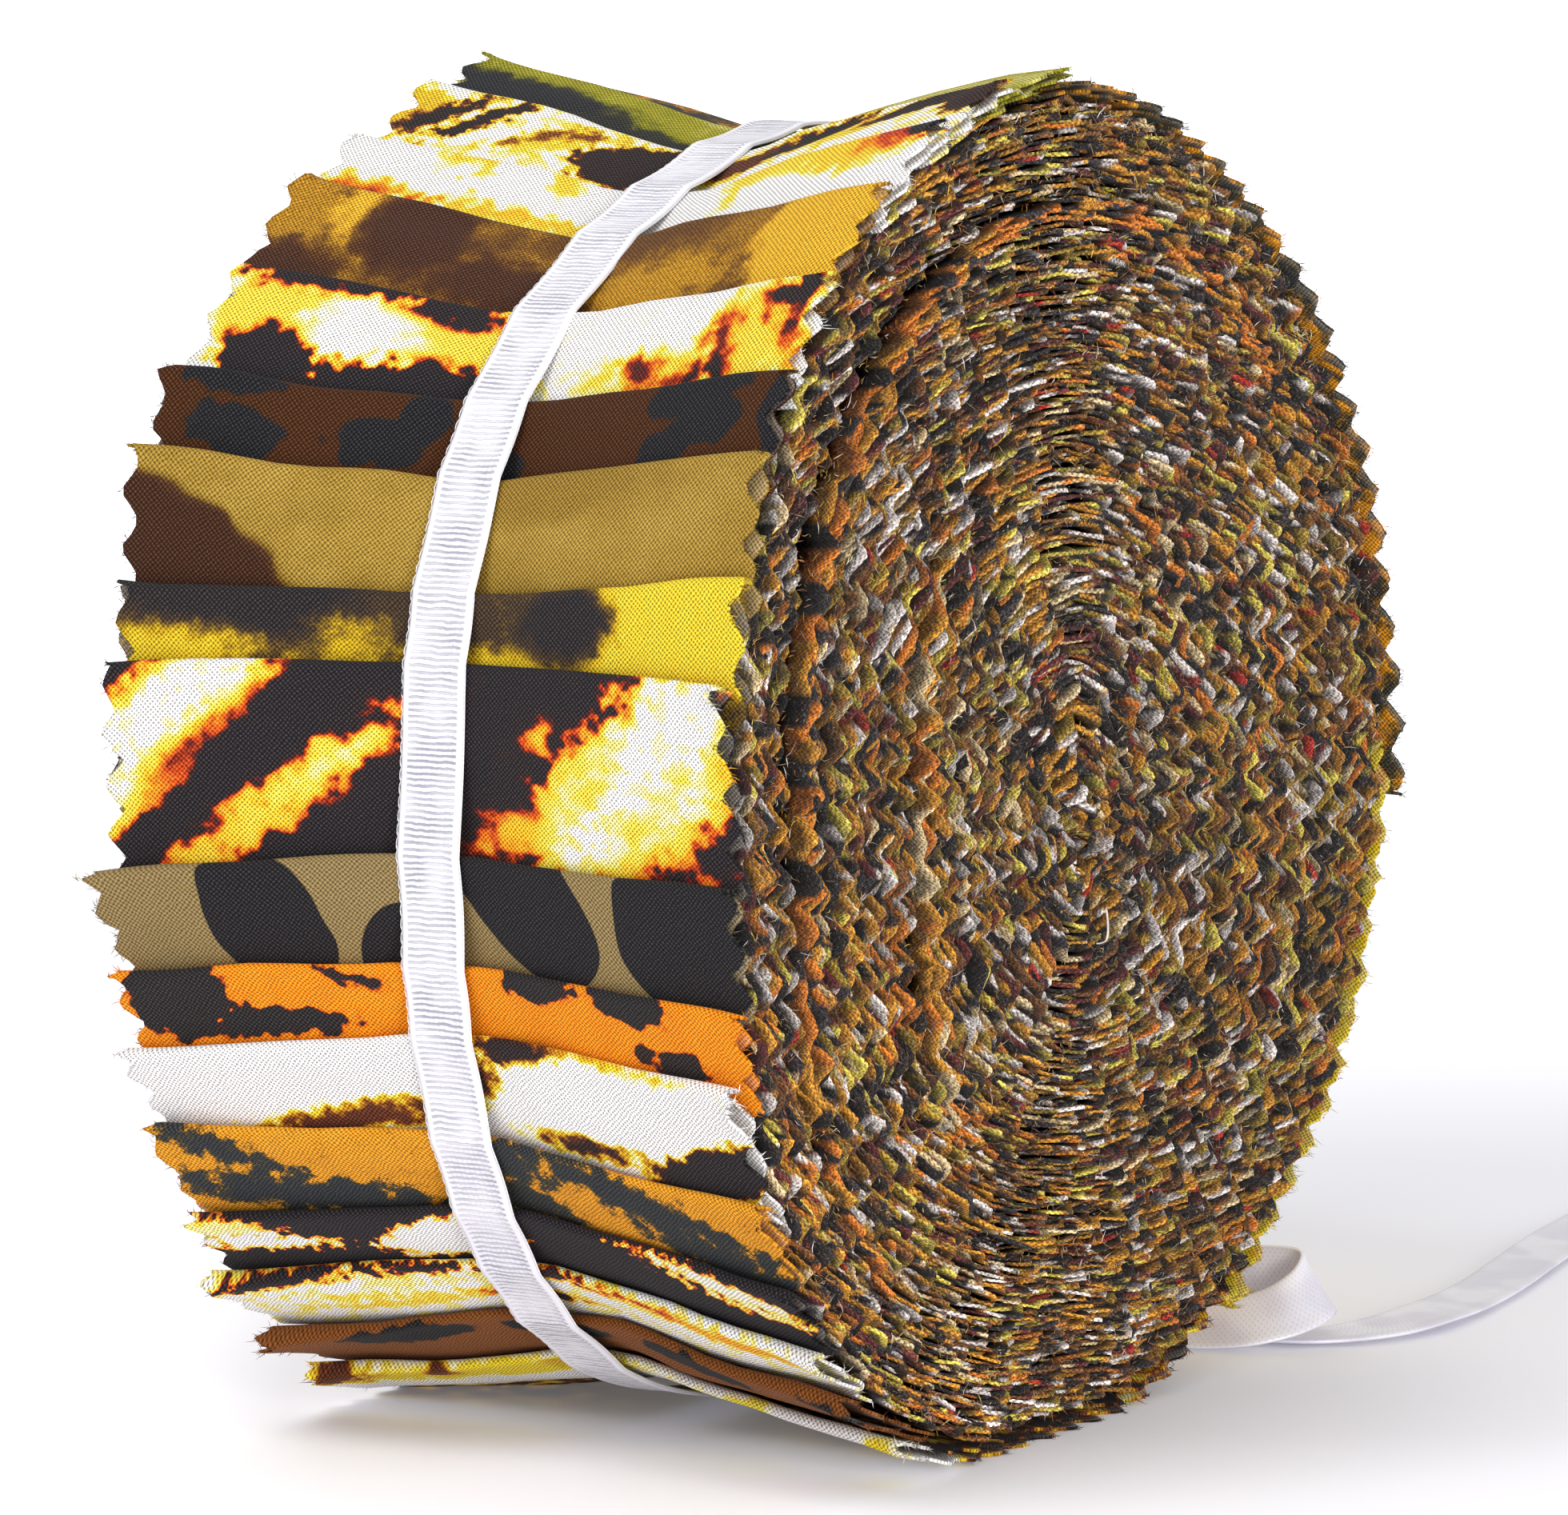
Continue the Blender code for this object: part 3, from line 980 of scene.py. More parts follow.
PRINTS = (
    Print("olive_wash", OLIVE, 0.74, (
        Patch(6, 6, 16, 3, 0, 3), Patch(30, 9, 22, 2.4, 0.1), Patch(34, 0.5, 16, 1.4, 0.95, 4),
        Patch(55, 5, 10, 3, 0.9)), soft=2.6, broad=0.2, broad_cell=5, speck=0.12),
    Print("torn_strokes", SINGED, 1, (
        Patch(1.5, 5.5, 4.2, 4, 0.55), Patch(5, 5, 5.5, 1.2, 0.1, -50), Patch(9.5, 4.5, 5.6, 1.1, 0, -50),
        Patch(17, 6, 5.5, 2.2, 0.64, -38), Patch(16, 5.2, 4.2, 0.6, 0.35, -40),
        Patch(20, 3.4, 3.6, 0.6, 0.35, -30), Patch(27.5, 5.6, 8, 4.2, 0.14, -24),
        Patch(38, 5, 6.5, 2.2, 0.3, -24), Patch(45, 3.6, 5, 1.8, 0.05, -24),
        Patch(50, 5, 6, 2.2, 0.62, -20), Patch(55, 2.6, 5, 1.8, 0.05, -24), Patch(61, 3.5, 3.2, 4, 0.22)),
          soft=1.8, cell=1.4, mottle=0.3, speck=0.12),
    Print("yellow_runs", BURNT, 1, (
        Patch(11, 0.6, 1.1, 2.2, 0.55), Patch(14, 0.7, 1.2, 2.8, 0.55), Patch(23, 0.9, 1.7, 3.2, 0.58),
        Patch(31, 1.5, 1.7, 4.6, 0.58), Patch(5, 7.6, 5, 1.6, 0.45), Patch(20, 8.4, 9, 1.4, 0.5),
        Patch(5, 9.6, 8, 1.4, 0.3), Patch(21, 9.8, 7, 1.1, 0.58), Patch(33, 9.6, 4, 0.8, 0.64),
        Patch(42, 3.6, 1.2, 4, 0.64), Patch(49, 1.2, 9, 2.4, 0.6), Patch(56, 2.4, 6.5, 3.4, 0.56),
        Patch(59, 1.6, 3.6, 2, 0.36), Patch(62.5, 0.8, 2.2, 1.8, 0)),
          soft=2.2, ragged=1.4, cell=1.8, detail=1.6),
    Print("brown_gold", GOLD, 0.5, (
        Patch(3, 5, 3.6, 6, 0.7), Patch(7.6, 3.4, 1.6, 4.6, 0.98), Patch(14.5, 5, 5.4, 5.6, 0.08),
        Patch(3, 11.5, 5, 2.6, 0.1), Patch(26, 9.5, 9, 3.4, 0.1, 6), Patch(41, 8.8, 8.5, 3, 0.74, -6),
        Patch(50, 3.4, 5, 3, 0.62), Patch(57.5, 5.4, 6.4, 8, 0.96), Patch(36, 2, 9, 2.6, 0.4)),
          soft=2.4, ragged=1.6, cell=2.6, broad=0.26, broad_cell=3, speck=0.2),
    Print("singed_spots", BURNT, 0.96, (
        Patch(6.5, 5.4, 6, 5, 0.62), Patch(25, 5, 8, 4.4, 0.62), Patch(12, 0.3, 12, 1.8, 0.06),
        Patch(23.5, 1.2, 4.4, 2.2, 0.1), Patch(16, 5.6, 5.5, 2.2, 0.97), Patch(7.5, 10.4, 4.2, 3.4, 0),
        Patch(16, 11.6, 6, 2.2, 0), Patch(25, 10.8, 7.5, 3, 0), Patch(48, 9, 9, 2.4, 0.6),
        Patch(57, 5.6, 5.5, 5, 0.6), Patch(45, 8.4, 1.9, 1.7, 0.28), Patch(49.5, 9.6, 2.4, 1.1, 0.33),
        Patch(53.5, 8.8, 1.5, 1.4, 0.14), Patch(53.2, 5, 1.8, 1.7, 0.3), Patch(58.6, 2.6, 1.5, 1.5, 0.24),
        Patch(61.4, 1.5, 2, 1.6, 0.12), Patch(60.4, 5.4, 1.3, 1.2, 0.26), Patch(62.4, 8, 1.4, 1.4, 0.4)),
          soft=2.8, ragged=1.4, cell=2, detail=1.6, mottle=0.1),
    Print("brown_camouflage", BROWN, 1, (
        Patch(6.5, 0.9, 4.4, 1.6, 0), Patch(8, 5.8, 4.6, 2.4, 0, 8), Patch(21.5, 5.4, 4.8, 2, 0),
        Patch(25, 2.4, 2, 2.6, 0), Patch(33, 6.4, 2.6, 1.5, 0), Patch(53, 1.6, 5.2, 2, 0, -6),
        Patch(52, 5.6, 4.6, 1.6, 0, -20), Patch(56.5, 4.2, 2.2, 1.9, 0), Patch(62.4, 4, 1.9, 3.4, 0)),
          soft=0.6, ragged=0.6, detail=0.6),
    # Its broad variation is partly the print's wash and partly painted shade of soft folds.
    Print("ochre_wash", OCHRE, 0.82, (
        Patch(3.5, 9, 13.5, 5.2, 0, 20), Patch(40, 2, 9, 3, 0.66)),
          soft=1.8, ragged=0.7, cell=4, broad=0.22, broad_cell=8, speck=0.12, detail=0.6),
    Print("sunny_shadow", SUNNY, 0.34, (
        Patch(15, 1.8, 19, 3.2, 0, 5), Patch(4, 6.6, 9, 2.6, 0.86, -4), Patch(30, 3.6, 9, 4, 0.26),
        Patch(22, 5.2, 3.6, 1.8, 0.7), Patch(37, 7, 8, 1.3, 0.86), Patch(57, 4, 12, 7, 1),
        Patch(44, 3.4, 4.8, 3.4, 0)), soft=2.8, ragged=1.2, cell=2, broad=0.2, broad_cell=3, speck=0.14),
    Print("flame_cat", BURNT, 0, (
        Patch(6.5, 4.4, 12, 4, 1, -34), Patch(0.5, 12, 7.5, 3, 1, -34), Patch(7, 9, 3.4, 0.9, 0.2, -38),
        Patch(18.5, 11.6, 12.5, 1.9, 0.82, -34), Patch(10, 17, 7, 1.4, 0.56, -30),
        Patch(61, 2.6, 9.5, 2.6, 1, 6), Patch(53, 9.6, 14, 6.2, 1, -36),
        Patch(38, 15.6, 4.4, 2.6, 0.52, -20), Patch(42, 6.6, 2.6, 1.3, 0.56, -30),
        Patch(48, 8.4, 2, 1, 0.60, -30), Patch(46.5, 12, 2.6, 1.3, 0.60, -30),
        Patch(52, 14.2, 2.6, 1.3, 0.60, -20), Patch(56, 10.6, 1.8, 0.9, 0.60, -36),
        Patch(57.5, 14.6, 2.4, 1, 0.62, -30), Patch(60.4, 8, 1.6, 1, 0.62, -30),
        Patch(63, 6.2, 1.6, 3.2, 0.47), Patch(59, 17.6, 6, 1, 0.46, -6)),
          soft=4.6, ragged=1.5, cell=2.4, detail=1.8, mottle=0.2),
    Print("khaki_shadow_ovals", KHAKI, 0.96, (
        Patch(15.2, 6.4, 8.6, 4.8, 0, 62), Patch(27.4, 10.4, 4.4, 5.2, 0),
        Patch(40.4, 3.8, 9.4, 5.6, 0, 50), Patch(57.8, 5.2, 9.6, 7.4, 0, 66)),
          soft=0.35, ragged=0.35, cell=5, broad=0.1, detail=0.3),
    Print("orange_torn", ORANGE, 0.92, (
        Patch(6, 3, 4.8, 4.4, 0), Patch(14, 6.2, 7.5, 1.6, 0), Patch(23, 1.6, 2.8, 0.6, 0.1, 18),
        Patch(41, 0.8, 3.8, 1.9, 0), Patch(51, 0.9, 4.2, 2.2, 0, 8), Patch(56, 6.6, 2.6, 1.5, 0.1),
        Patch(52, 6.2, 1.2, 0.9, 0.2)),
          soft=1.1, ragged=0.9, cell=1.7, broad=0.2, broad_cell=2.6, speck=0.1, detail=1.5),
    Print("white_singed_hem", SINGED, 1, (
        Patch(20, 8.8, 11, 1.7, 0.3, -6), Patch(31.5, 6.2, 5, 2, 0.25, -38),
        Patch(38.5, 0.4, 5, 1.8, 0.1, -10), Patch(46, 0.1, 8, 0.7, 0.5, 4),
        Patch(58, 9.6, 9, 2.8, 0, -20), Patch(44, 9.6, 6, 1.2, 0.2)), soft=2, ragged=0.9, cell=1.5),
    Print("tiger_mottle", TIGER, 0.86, (
        Patch(6.5, 2.4, 6, 1.5, 0, 26), Patch(13, 8.2, 13, 2.2, 0, 6), Patch(34, 2.4, 5, 2.2, 0.05, 14),
        Patch(35, 7.4, 4.4, 2, 0.1, 10), Patch(48, 3, 13, 1.9, 0, 16), Patch(56, 8.4, 9, 2, 0.05, 18)),
          soft=2.4, ragged=1.6, cell=2, broad=0.3, broad_cell=2.2, speck=0.42),
    Print("black_with_flames", BURNT, 0, (
        Patch(4, 1.8, 5.4, 1.7, 0.75, 10), Patch(6, 4.2, 7.5, 1.3, 0.95, 4),
        Patch(24.5, 4.4, 6.5, 3, 0.96, -12), Patch(30, 3.2, 3, 1.4, 0.7, 20),
        Patch(55, 2.2, 8.5, 1.3, 0.86, 10), Patch(58, 4.4, 6.5, 0.8, 0.8, 8)),
          soft=1.6, ragged=1.1, cell=1.2),
    Print("white_barred", BURNT, 0.97, (
        Patch(7, 0.7, 8, 1.1, 0.02, -4), Patch(20, 0.7, 4.4, 1, 0.05), Patch(32, 0.8, 6.5, 1, 0.05),
        Patch(22, 5, 12, 0.7, 0.6, 4), Patch(31, 5.6, 4.4, 1, 0.1, 4), Patch(14, 6.2, 7, 0.8, 0.56, -2),
        Patch(45, 1.6, 7, 0.9, 0.34, 6), Patch(55, 2.2, 6.5, 1.5, 0.48, 4)),
          soft=1.7, ragged=1.1, cell=1.3, mottle=0.24),
    Print("brown_barred", RUSSET, 1, (
        Patch(15, 2.2, 6.4, 2, 0), Patch(30, 3, 5, 2.6, 0), Patch(45, 3, 5.6, 2.6, 0, 8),
        Patch(60, 2.4, 3.4, 2, 0.1)), soft=0.6, ragged=0.7, cell=2, detail=1),
    Print("white_lemon", SINGED, 0.32, (
        Patch(32, 3, 60, 10, 0.95), Patch(17, 2, 17, 2.6, 0.62), Patch(3, 1, 3.6, 1.8, 0.3),
        Patch(14, 1, 1.2, 1.6, 0.3), Patch(25.5, 1.2, 1.2, 1, 0.38), Patch(33, 1.2, 9, 1.2, 0.62),
        Patch(47, 1.6, 2.2, 3, 0.64, 20), Patch(60.5, 1.8, 2.4, 2.6, 0.62)),
          soft=2, ragged=1.4, cell=2.4, broad=0.7, broad_cell=3),
    Print("lemon_olive", LEMON, 0.68, (
        Patch(54, 10, 7, 3, 0.35, 20), Patch(18, 16, 9, 3, 0.3, -20), Patch(40, 30, 10, 3.4, 0.95, 10),
        Patch(12, 40, 7, 3, 0.25, 30)),
          soft=3, ragged=2.6, cell=2.6, broad=0.36, broad_cell=4, speck=0.1),
    Print("gold_bark", TIGER, 0.45, (
        Patch(14, 14, 10, 3, 0.2, 20), Patch(46, 26, 12, 3, 0.7, -20), Patch(20, 46, 13, 3.6, 0.15, 10),
        Patch(50, 60, 10, 4, 0.2, -30), Patch(18, 76, 12, 3.6, 0.7, 20)),
          soft=3, ragged=3, cell=2.8, broad=0.6, broad_cell=3.2, speck=0.2),
)


class PrintedCotton:
    """Materials of the printed strips."""

    pitch: float = 0.46
    edge_middle: float = 4.35

    def __init__(self, nodes: ClothNodes) -> None:
        """Keep the shared node groups."""
        self.nodes = nodes

    def printed(self, design: Print, wash: float = 0.0) -> Material:
        """Return one side of a printed cotton.

        Args:
            design: Its print.
            wash: Share of pale thread that shows through, as on the back of the cloth.

        Returns:
            The material.
        """
        material, graph, shader = new_material(design.name + ("_back" if wash else ""))
        place = graph.cloth()
        rough = graph.noise(place, 1.0 / design.cell, design.detail, 0.55)
        ragged = graph.times(graph.minus(rough, 0.5), 3.2 * design.ragged)
        level: object = design.ground
        if design.broad:
            sway = graph.minus(graph.noise(place, 1.0 / design.broad_cell, 3.0, 0.6), 0.5)
            level = graph.math("MULTIPLY_ADD", sway, 3.0 * design.broad, design.ground)
        for patch in design.patches:
            node = graph.use(self.nodes.patch, Place=place, Field=level, Level=patch.level,
                             Centre=(patch.across, patch.down, 0.0),
                             Half=(patch.half_across, patch.half_down, 1.0),
                             Turn=math.radians(patch.turn), Soft=design.soft, Ragged=ragged)
            level = node.outputs[0]
        if design.mottle:
            stain = graph.remap(graph.noise(place, 0.55, 2.0), 0.46, 0.6, 0.0, design.mottle, Ease.SMOOTH)
            level = graph.minus(level, graph.times(stain, graph.remap(level, 0.6, 0.95)))
        speck = graph.minus(graph.noise(place, 3.2, 2.0, 0.7), 0.5)
        level = graph.math("MULTIPLY_ADD", speck, design.speck * 3.0, level)
        tone = graph.ramp(level, design.ramp)
        if wash:
            tone = graph.mix(wash, tone, opaque(214, 206, 190))
        woven = graph.use(self.nodes.weave, Place=place, Colour=tone, Pitch=self.pitch)
        graph.feed(shader.inputs["Base Color"], woven.outputs["Colour"])
        set_shader(shader, 0.9, 0.03, 0.15)
        add_bump(graph, shader, woven.outputs["Height"], 0.7, 0.12)
        return material

    def winding(self) -> Material:
        """Return the cut edges of the wound strips, coloured by the tint that each layer carries, with
        painted light at the edges and painted shade towards the roots.
        """
        material, graph, shader = new_material("wound_edges")
        place = graph.cloth()
        point = graph.vector("SCALE", graph.add("ShaderNodeTexCoord").outputs["Object"], 1.0 / MM)
        tint = graph.attribute("tint").outputs["Color"]
        woven = graph.use(self.nodes.weave, Place=place, Colour=tint, Pitch=self.pitch)
        fibre = graph.noise(point, 2.8, 4.0, 0.85, 0.8)
        streak = graph.noise(graph.join(graph.times(graph.parts(place)[0], 5.0), graph.parts(place)[1]),
                             1.0, 3.0, 0.7)
        depth = graph.times(graph.remap(fibre, 0.37, 0.63, 0.27, 1.75),
                            graph.remap(streak, 0.3, 0.7, 0.65, 1.35))
        tone = graph.shade(woven.outputs["Colour"], depth)
        wisps = graph.remap(graph.noise(point, 3.4, 3.0, 0.8), 0.57, 0.66, 0.0, 0.5)
        tone = graph.mix(wisps, tone, opaque(200, 182, 146))
        # Painted shade and light: darker down towards the wedge's root, lighter at its cut edge.
        out = graph.math("ABSOLUTE", graph.minus(graph.parts(place)[1], self.edge_middle))
        painted_depth_shade = graph.remap(out, 0.1, 1.05, 1.5, 0.28)
        tone = graph.shade(tone, painted_depth_shade)
        graph.feed(shader.inputs["Base Color"], tone)
        set_shader(shader, 0.95, 0.1, 0.15)
        height = graph.plus(graph.times(woven.outputs["Height"], 0.4), fibre)
        add_bump(graph, shader, height, 1.0, 0.5)
        return material

    def core(self) -> Material:
        """Return the cloth deep between the layers, painted dark to stand for the shade in the gaps."""
        material, graph, shader = new_material("deep_layers_painted_shade")
        point = graph.add("ShaderNodeTexCoord").outputs["Object"]
        tone = graph.ramp(graph.noise(point, 900.0, 3.0, 0.7),
                          stops((0.35, 20, 16, 16), (0.65, 62, 44, 24)))
        graph.feed(shader.inputs["Base Color"], tone)
        set_shader(shader, 1.0, 0.0, 0.1)
        return material

    def fluff(self) -> Material:
        """Return the loose threads at the cut edges, each in the tint that it carries."""
        material, graph, shader = new_material("loose_threads")
        graph.feed(shader.inputs["Base Color"], graph.attribute("tint").outputs["Color"])
        set_shader(shader, 0.8, 0.3, 0.3)
        return material


class RibbonFinish:
    """Materials of the woven ribbon: satin with an open ladder between two corded edges."""

    bar_pitch: float = 0.56
    warp_pitch: float = 0.52
    dot_pitch: tuple[float, float] = (0.55, 0.8)
    twist_pitch: float = 0.3

    def __init__(self, width: float) -> None:
        """Keep the ribbon's width."""
        self.width = width

    def satin(self) -> Material:
        """Return the ribbon's satin, with its ladder weave in the cloth coordinates and painted shade in
        its open gaps.
        """
        material, graph, shader = new_material("white_satin_ribbon")
        along, across, _ = graph.parts(graph.cloth())
        out = graph.math("ABSOLUTE", graph.minus(across, self.width / 2))
        inner = graph.remap(out, self.width / 2 - 0.45, self.width / 2 - 0.65, ease=Ease.SMOOTH)
        wander = graph.times(graph.minus(graph.noise(graph.cloth(), 0.5), 0.5), 0.5)
        bars = graph.wave(graph.plus(along, wander), self.bar_pitch)
        warps = graph.wave(graph.plus(across, wander), self.warp_pitch)
        bar = graph.remap(bars, -0.75, -0.1, ease=Ease.SMOOTH)
        warp = graph.remap(warps, -0.5, 0.6, 0.35, 1.0, ease=Ease.SMOOTH)
        solid = graph.times(bar, graph.plus(graph.times(warp, 0.35), 0.65))
        open_work = graph.times(inner, graph.minus(1.0, solid))
        patchy = graph.remap(graph.noise(graph.cloth(), 0.2, 2.0), 0.35, 0.62, 0.12, 0.8)
        # Painted shade: the ladder's open gaps are painted a darker lilac grey, in patches.
        tone = graph.mix(graph.times(open_work, patchy), opaque(233, 231, 239), opaque(126, 126, 146))
        graph.feed(shader.inputs["Base Color"], tone)
        graph.feed(shader.inputs["Roughness"], graph.remap(solid, 0.0, 1.0, 0.55, 0.32))
        shader.inputs["Sheen Weight"].default_value = 0.2
        shader.inputs["Specular IOR Level"].default_value = 0.6
        threads = graph.noise(graph.join(graph.times(along, 4.0), graph.times(across, 14.0)), 1.0, 2.0)
        height = graph.minus(graph.times(threads, 0.25), open_work)
        add_bump(graph, shader, height, 0.8, 0.14)
        return material

    def twill(self) -> Material:
        """Return the smoother side of the ribbon, with fine dotted lines and a painted satin sheen, for its
        loose parts.
        """
        material, graph, shader = new_material("lilac_satin_ribbon")
        along, across, _ = graph.parts(graph.cloth())
        dots = graph.times(graph.wave(along, self.dot_pitch[0]), graph.wave(across, self.dot_pitch[1]))
        mark = graph.remap(dots, 0.1, 0.9, 0.0, 0.3)
        # Painted sheen: broad patches of the satin are mixed towards a brighter white.
        painted_sheen = graph.remap(graph.noise(graph.cloth(), 0.13, 1.0), 0.4, 0.6, ease=Ease.SMOOTH)
        ground = graph.mix(painted_sheen, opaque(228, 225, 238), opaque(246, 244, 252))
        tone = graph.mix(mark, ground, opaque(184, 180, 204))
        graph.feed(shader.inputs["Base Color"], tone)
        set_shader(shader, 0.22, 0.1, 1.0)
        shader.inputs["Anisotropic"].default_value = 0.3
        add_bump(graph, shader, graph.minus(1.0, mark), 0.5, 0.1)
        return material

    def cord(self) -> Material:
        """Return the shiny white thread of the ribbon's edges."""
        material, graph, shader = new_material("white_edge_thread")
        along, _, _ = graph.parts(graph.cloth())
        twist = graph.wave(along, self.twist_pitch)
        tone = graph.remap(twist, -1.0, 1.0, 0.84, 0.96)
        graph.feed(shader.inputs["Base Color"], graph.join(tone, tone, graph.plus(tone, 0.02)))
        set_shader(shader, 0.4, 0.2, 0.5)
        return material


EDGE_TINTS = {
    "charcoal": srgb(42, 37, 43), "black": srgb(26, 17, 20), "maroon": srgb(98, 34, 36),
    "brown": srgb(122, 75, 34), "olive": srgb(168, 136, 42), "mustard": srgb(206, 141, 38),
    "yellow": srgb(226, 204, 84), "orange": srgb(212, 120, 32), "cream": srgb(226, 198, 150),
    "white": srgb(242, 230, 224), "red": srgb(178, 36, 24),
}
EDGE_FAMILIES = (
    ("charcoal", "black", "white", "mustard", "charcoal", "cream", "olive", "maroon"),
    ("brown", "mustard", "olive", "charcoal", "mustard", "brown", "black", "white"),
    ("orange", "mustard", "black", "brown", "olive", "charcoal", "yellow", "mustard"),
    ("brown", "yellow", "charcoal", "white", "cream", "mustard", "brown", "black"),
    ("black", "maroon", "charcoal", "brown", "white", "orange", "mustard", "black"),
    ("white", "cream", "mustard", "charcoal", "yellow", "maroon", "black", "mustard"),
    ("white", "charcoal", "orange", "black", "olive", "mustard", "brown", "mustard"),
)


@dataclass(frozen=True)
class ProudTurn:
    """A turn that stands out of the face over a sector, in tints of its own."""

    number: int
    middle: float
    reach: float
    out: float
    tints: tuple[str, ...]


@dataclass(frozen=True)
class EdgeWear:
    """How uneven the wound strips' cut edges are, in millimetres, in teeth and in shares.

    Turns nest tooth in tooth in bunches, with slips between turns and layers and a slow drift. A
    push stands a tip out, and the dip lies outside a proud turn.
    """

    bunch: tuple[int, int] = (5, 13)
    turn_slip: float = 0.06
    layer_slip: float = 0.05
    tooth_slip: float = 0.05
    face_drift: float = 0.5
    turn_drift: float = 0.2
    own_push: float = 0.26
    face_push: float = 0.5
    turn_push: float = 0.3
    dip: float = 0.9
    dip_turns: int = 5
    tooth_kinds: int = 997
    tooth_power: float = 1.25
    tooth_share: float = 0.92
    blunt: float = 1.2
    blunt_share: float = 0.26
    uneven: float = 0.5
    frayed: float = 0.17
    past_rim: float = 1.2
    tooth_curl: float = 0.38
    turn_curl: float = 0.34
    sway: float = 0.12
    rim_bend: float = 0.15
    eye_bend: float = 0.45
    thickness: float = 0.3
    lip: float = 0.1
    lip_curl: float = 0.05


@dataclass(frozen=True)
class EdgeColours:
    """How the tints change along a wound layer: lengths in millimetres and brightness as a factor, with
    painted light on one side.
    """

    cottons: int = 400
    cotton_length: tuple[float, float] = (140.0, 620.0)
    patch_spread: tuple[float, float] = (1.5, 0.85)
    patch_least: float = 0.35
    patches_per_mm: float = 1.5
    red_share: float = 0.012
    brightness: tuple[float, float] = (0.48, 1.45)
    proud_brightness: float = 1.25
    painted_light_side: float = 245.0
    painted_light_gain: float = 0.42


@dataclass
class Winding:
    """The two faces of the wound roll: turn upon turn of doubled strips with pinked edges."""

    shape: RollShape
    cotton: PrintedCotton
    wear: EdgeWear = EdgeWear()
    colours: EdgeColours = EdgeColours()
    turns: int = 80
    eye_turns: float = 0.35
    outer_turns: float = 0.9
    layer_offset: float = 0.189
    layer_half: float = 0.165
    near_steps: int = 8
    far_steps: int = 3
    root_y: float = 27.0
    core_y: float = 27.4
    core_columns: int = 120
    core_inset: float = 0.4
    layer_inset: float = 0.35
    tip_y: float = 31.4
    proud_turns: tuple[ProudTurn, ...] = (
        ProudTurn(69, 130.0, 130.0, 1.3, ("orange", "black", "mustard", "orange", "charcoal")),
        ProudTurn(68, 120.0, 105.0, 0.9, ("mustard", "charcoal", "orange")),
        ProudTurn(44, 185.0, 65.0, 1.2, ("orange", "mustard", "cream", "mustard")),
        ProudTurn(36, 60.0, 60.0, 1.1, ("cream", "orange", "charcoal", "cream")),
        ProudTurn(52, 262.0, 50.0, 1.0, ("mustard", "charcoal", "cream", "olive")),
    )
    seed: int = 11

    def build(self) -> None:
        """Make the core and the layers of both faces."""
        edges = self.cotton.winding()
        core = add_piece("winding_core", self.core_data(), [self.cotton.core()])
        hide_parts("wound_roll")
        for face, steps in ((Face.NEAR, self.near_steps), (Face.FAR, self.far_steps)):
            for layer in Layer:
                data = WoundLayer(self, face, layer, steps).data()
                add_piece(data.name, data, [edges])

    def core_data(self) -> Mesh:
        """Return the closed drum behind the layers."""
        rows = (-self.core_y, -self.core_y, -20.0, -8.0, 8.0, 20.0, self.core_y, self.core_y)

        def place(column: Array, row: Array) -> Array:
            """Return the drum's points; the first and last rows are the middles of its ends."""
            y = np.array(rows)[row.astype(int)]
            share = np.where((row == 0) | (row == len(rows) - 1), 0.0, 1.0)
            angle = 360.0 * (column % self.core_columns) / self.core_columns
            return self.shape.face_point(angle, share, y, -self.core_inset * share)

        data = grid_data("winding_core", self.core_columns, len(rows) - 1, place,
                         lambda column, row: np.stack([column, row], -1))
        close_seams(data)
        return data

    def course(self, steps: int) -> tuple[Array, Array]:
        """Return where the layers' columns lie along the spiral.

        Args:
            steps: Columns for each tooth.

        Returns:
            The turn count and the length along the spiral at each column, from the eye outwards.
        """
        turn = np.linspace(self.eye_turns, self.turns + self.outer_turns, 400 * self.turns)
        tip = np.full_like(turn, self.tip_y)
        points = self.shape.face_point(-360.0 * turn, turn / self.turns, tip, 0.0) / MM
        length = run_length(points)
        at = np.arange(0.0, length[-1], self.shape.tooth_pitch / steps)
        return np.interp(at, length, turn), at


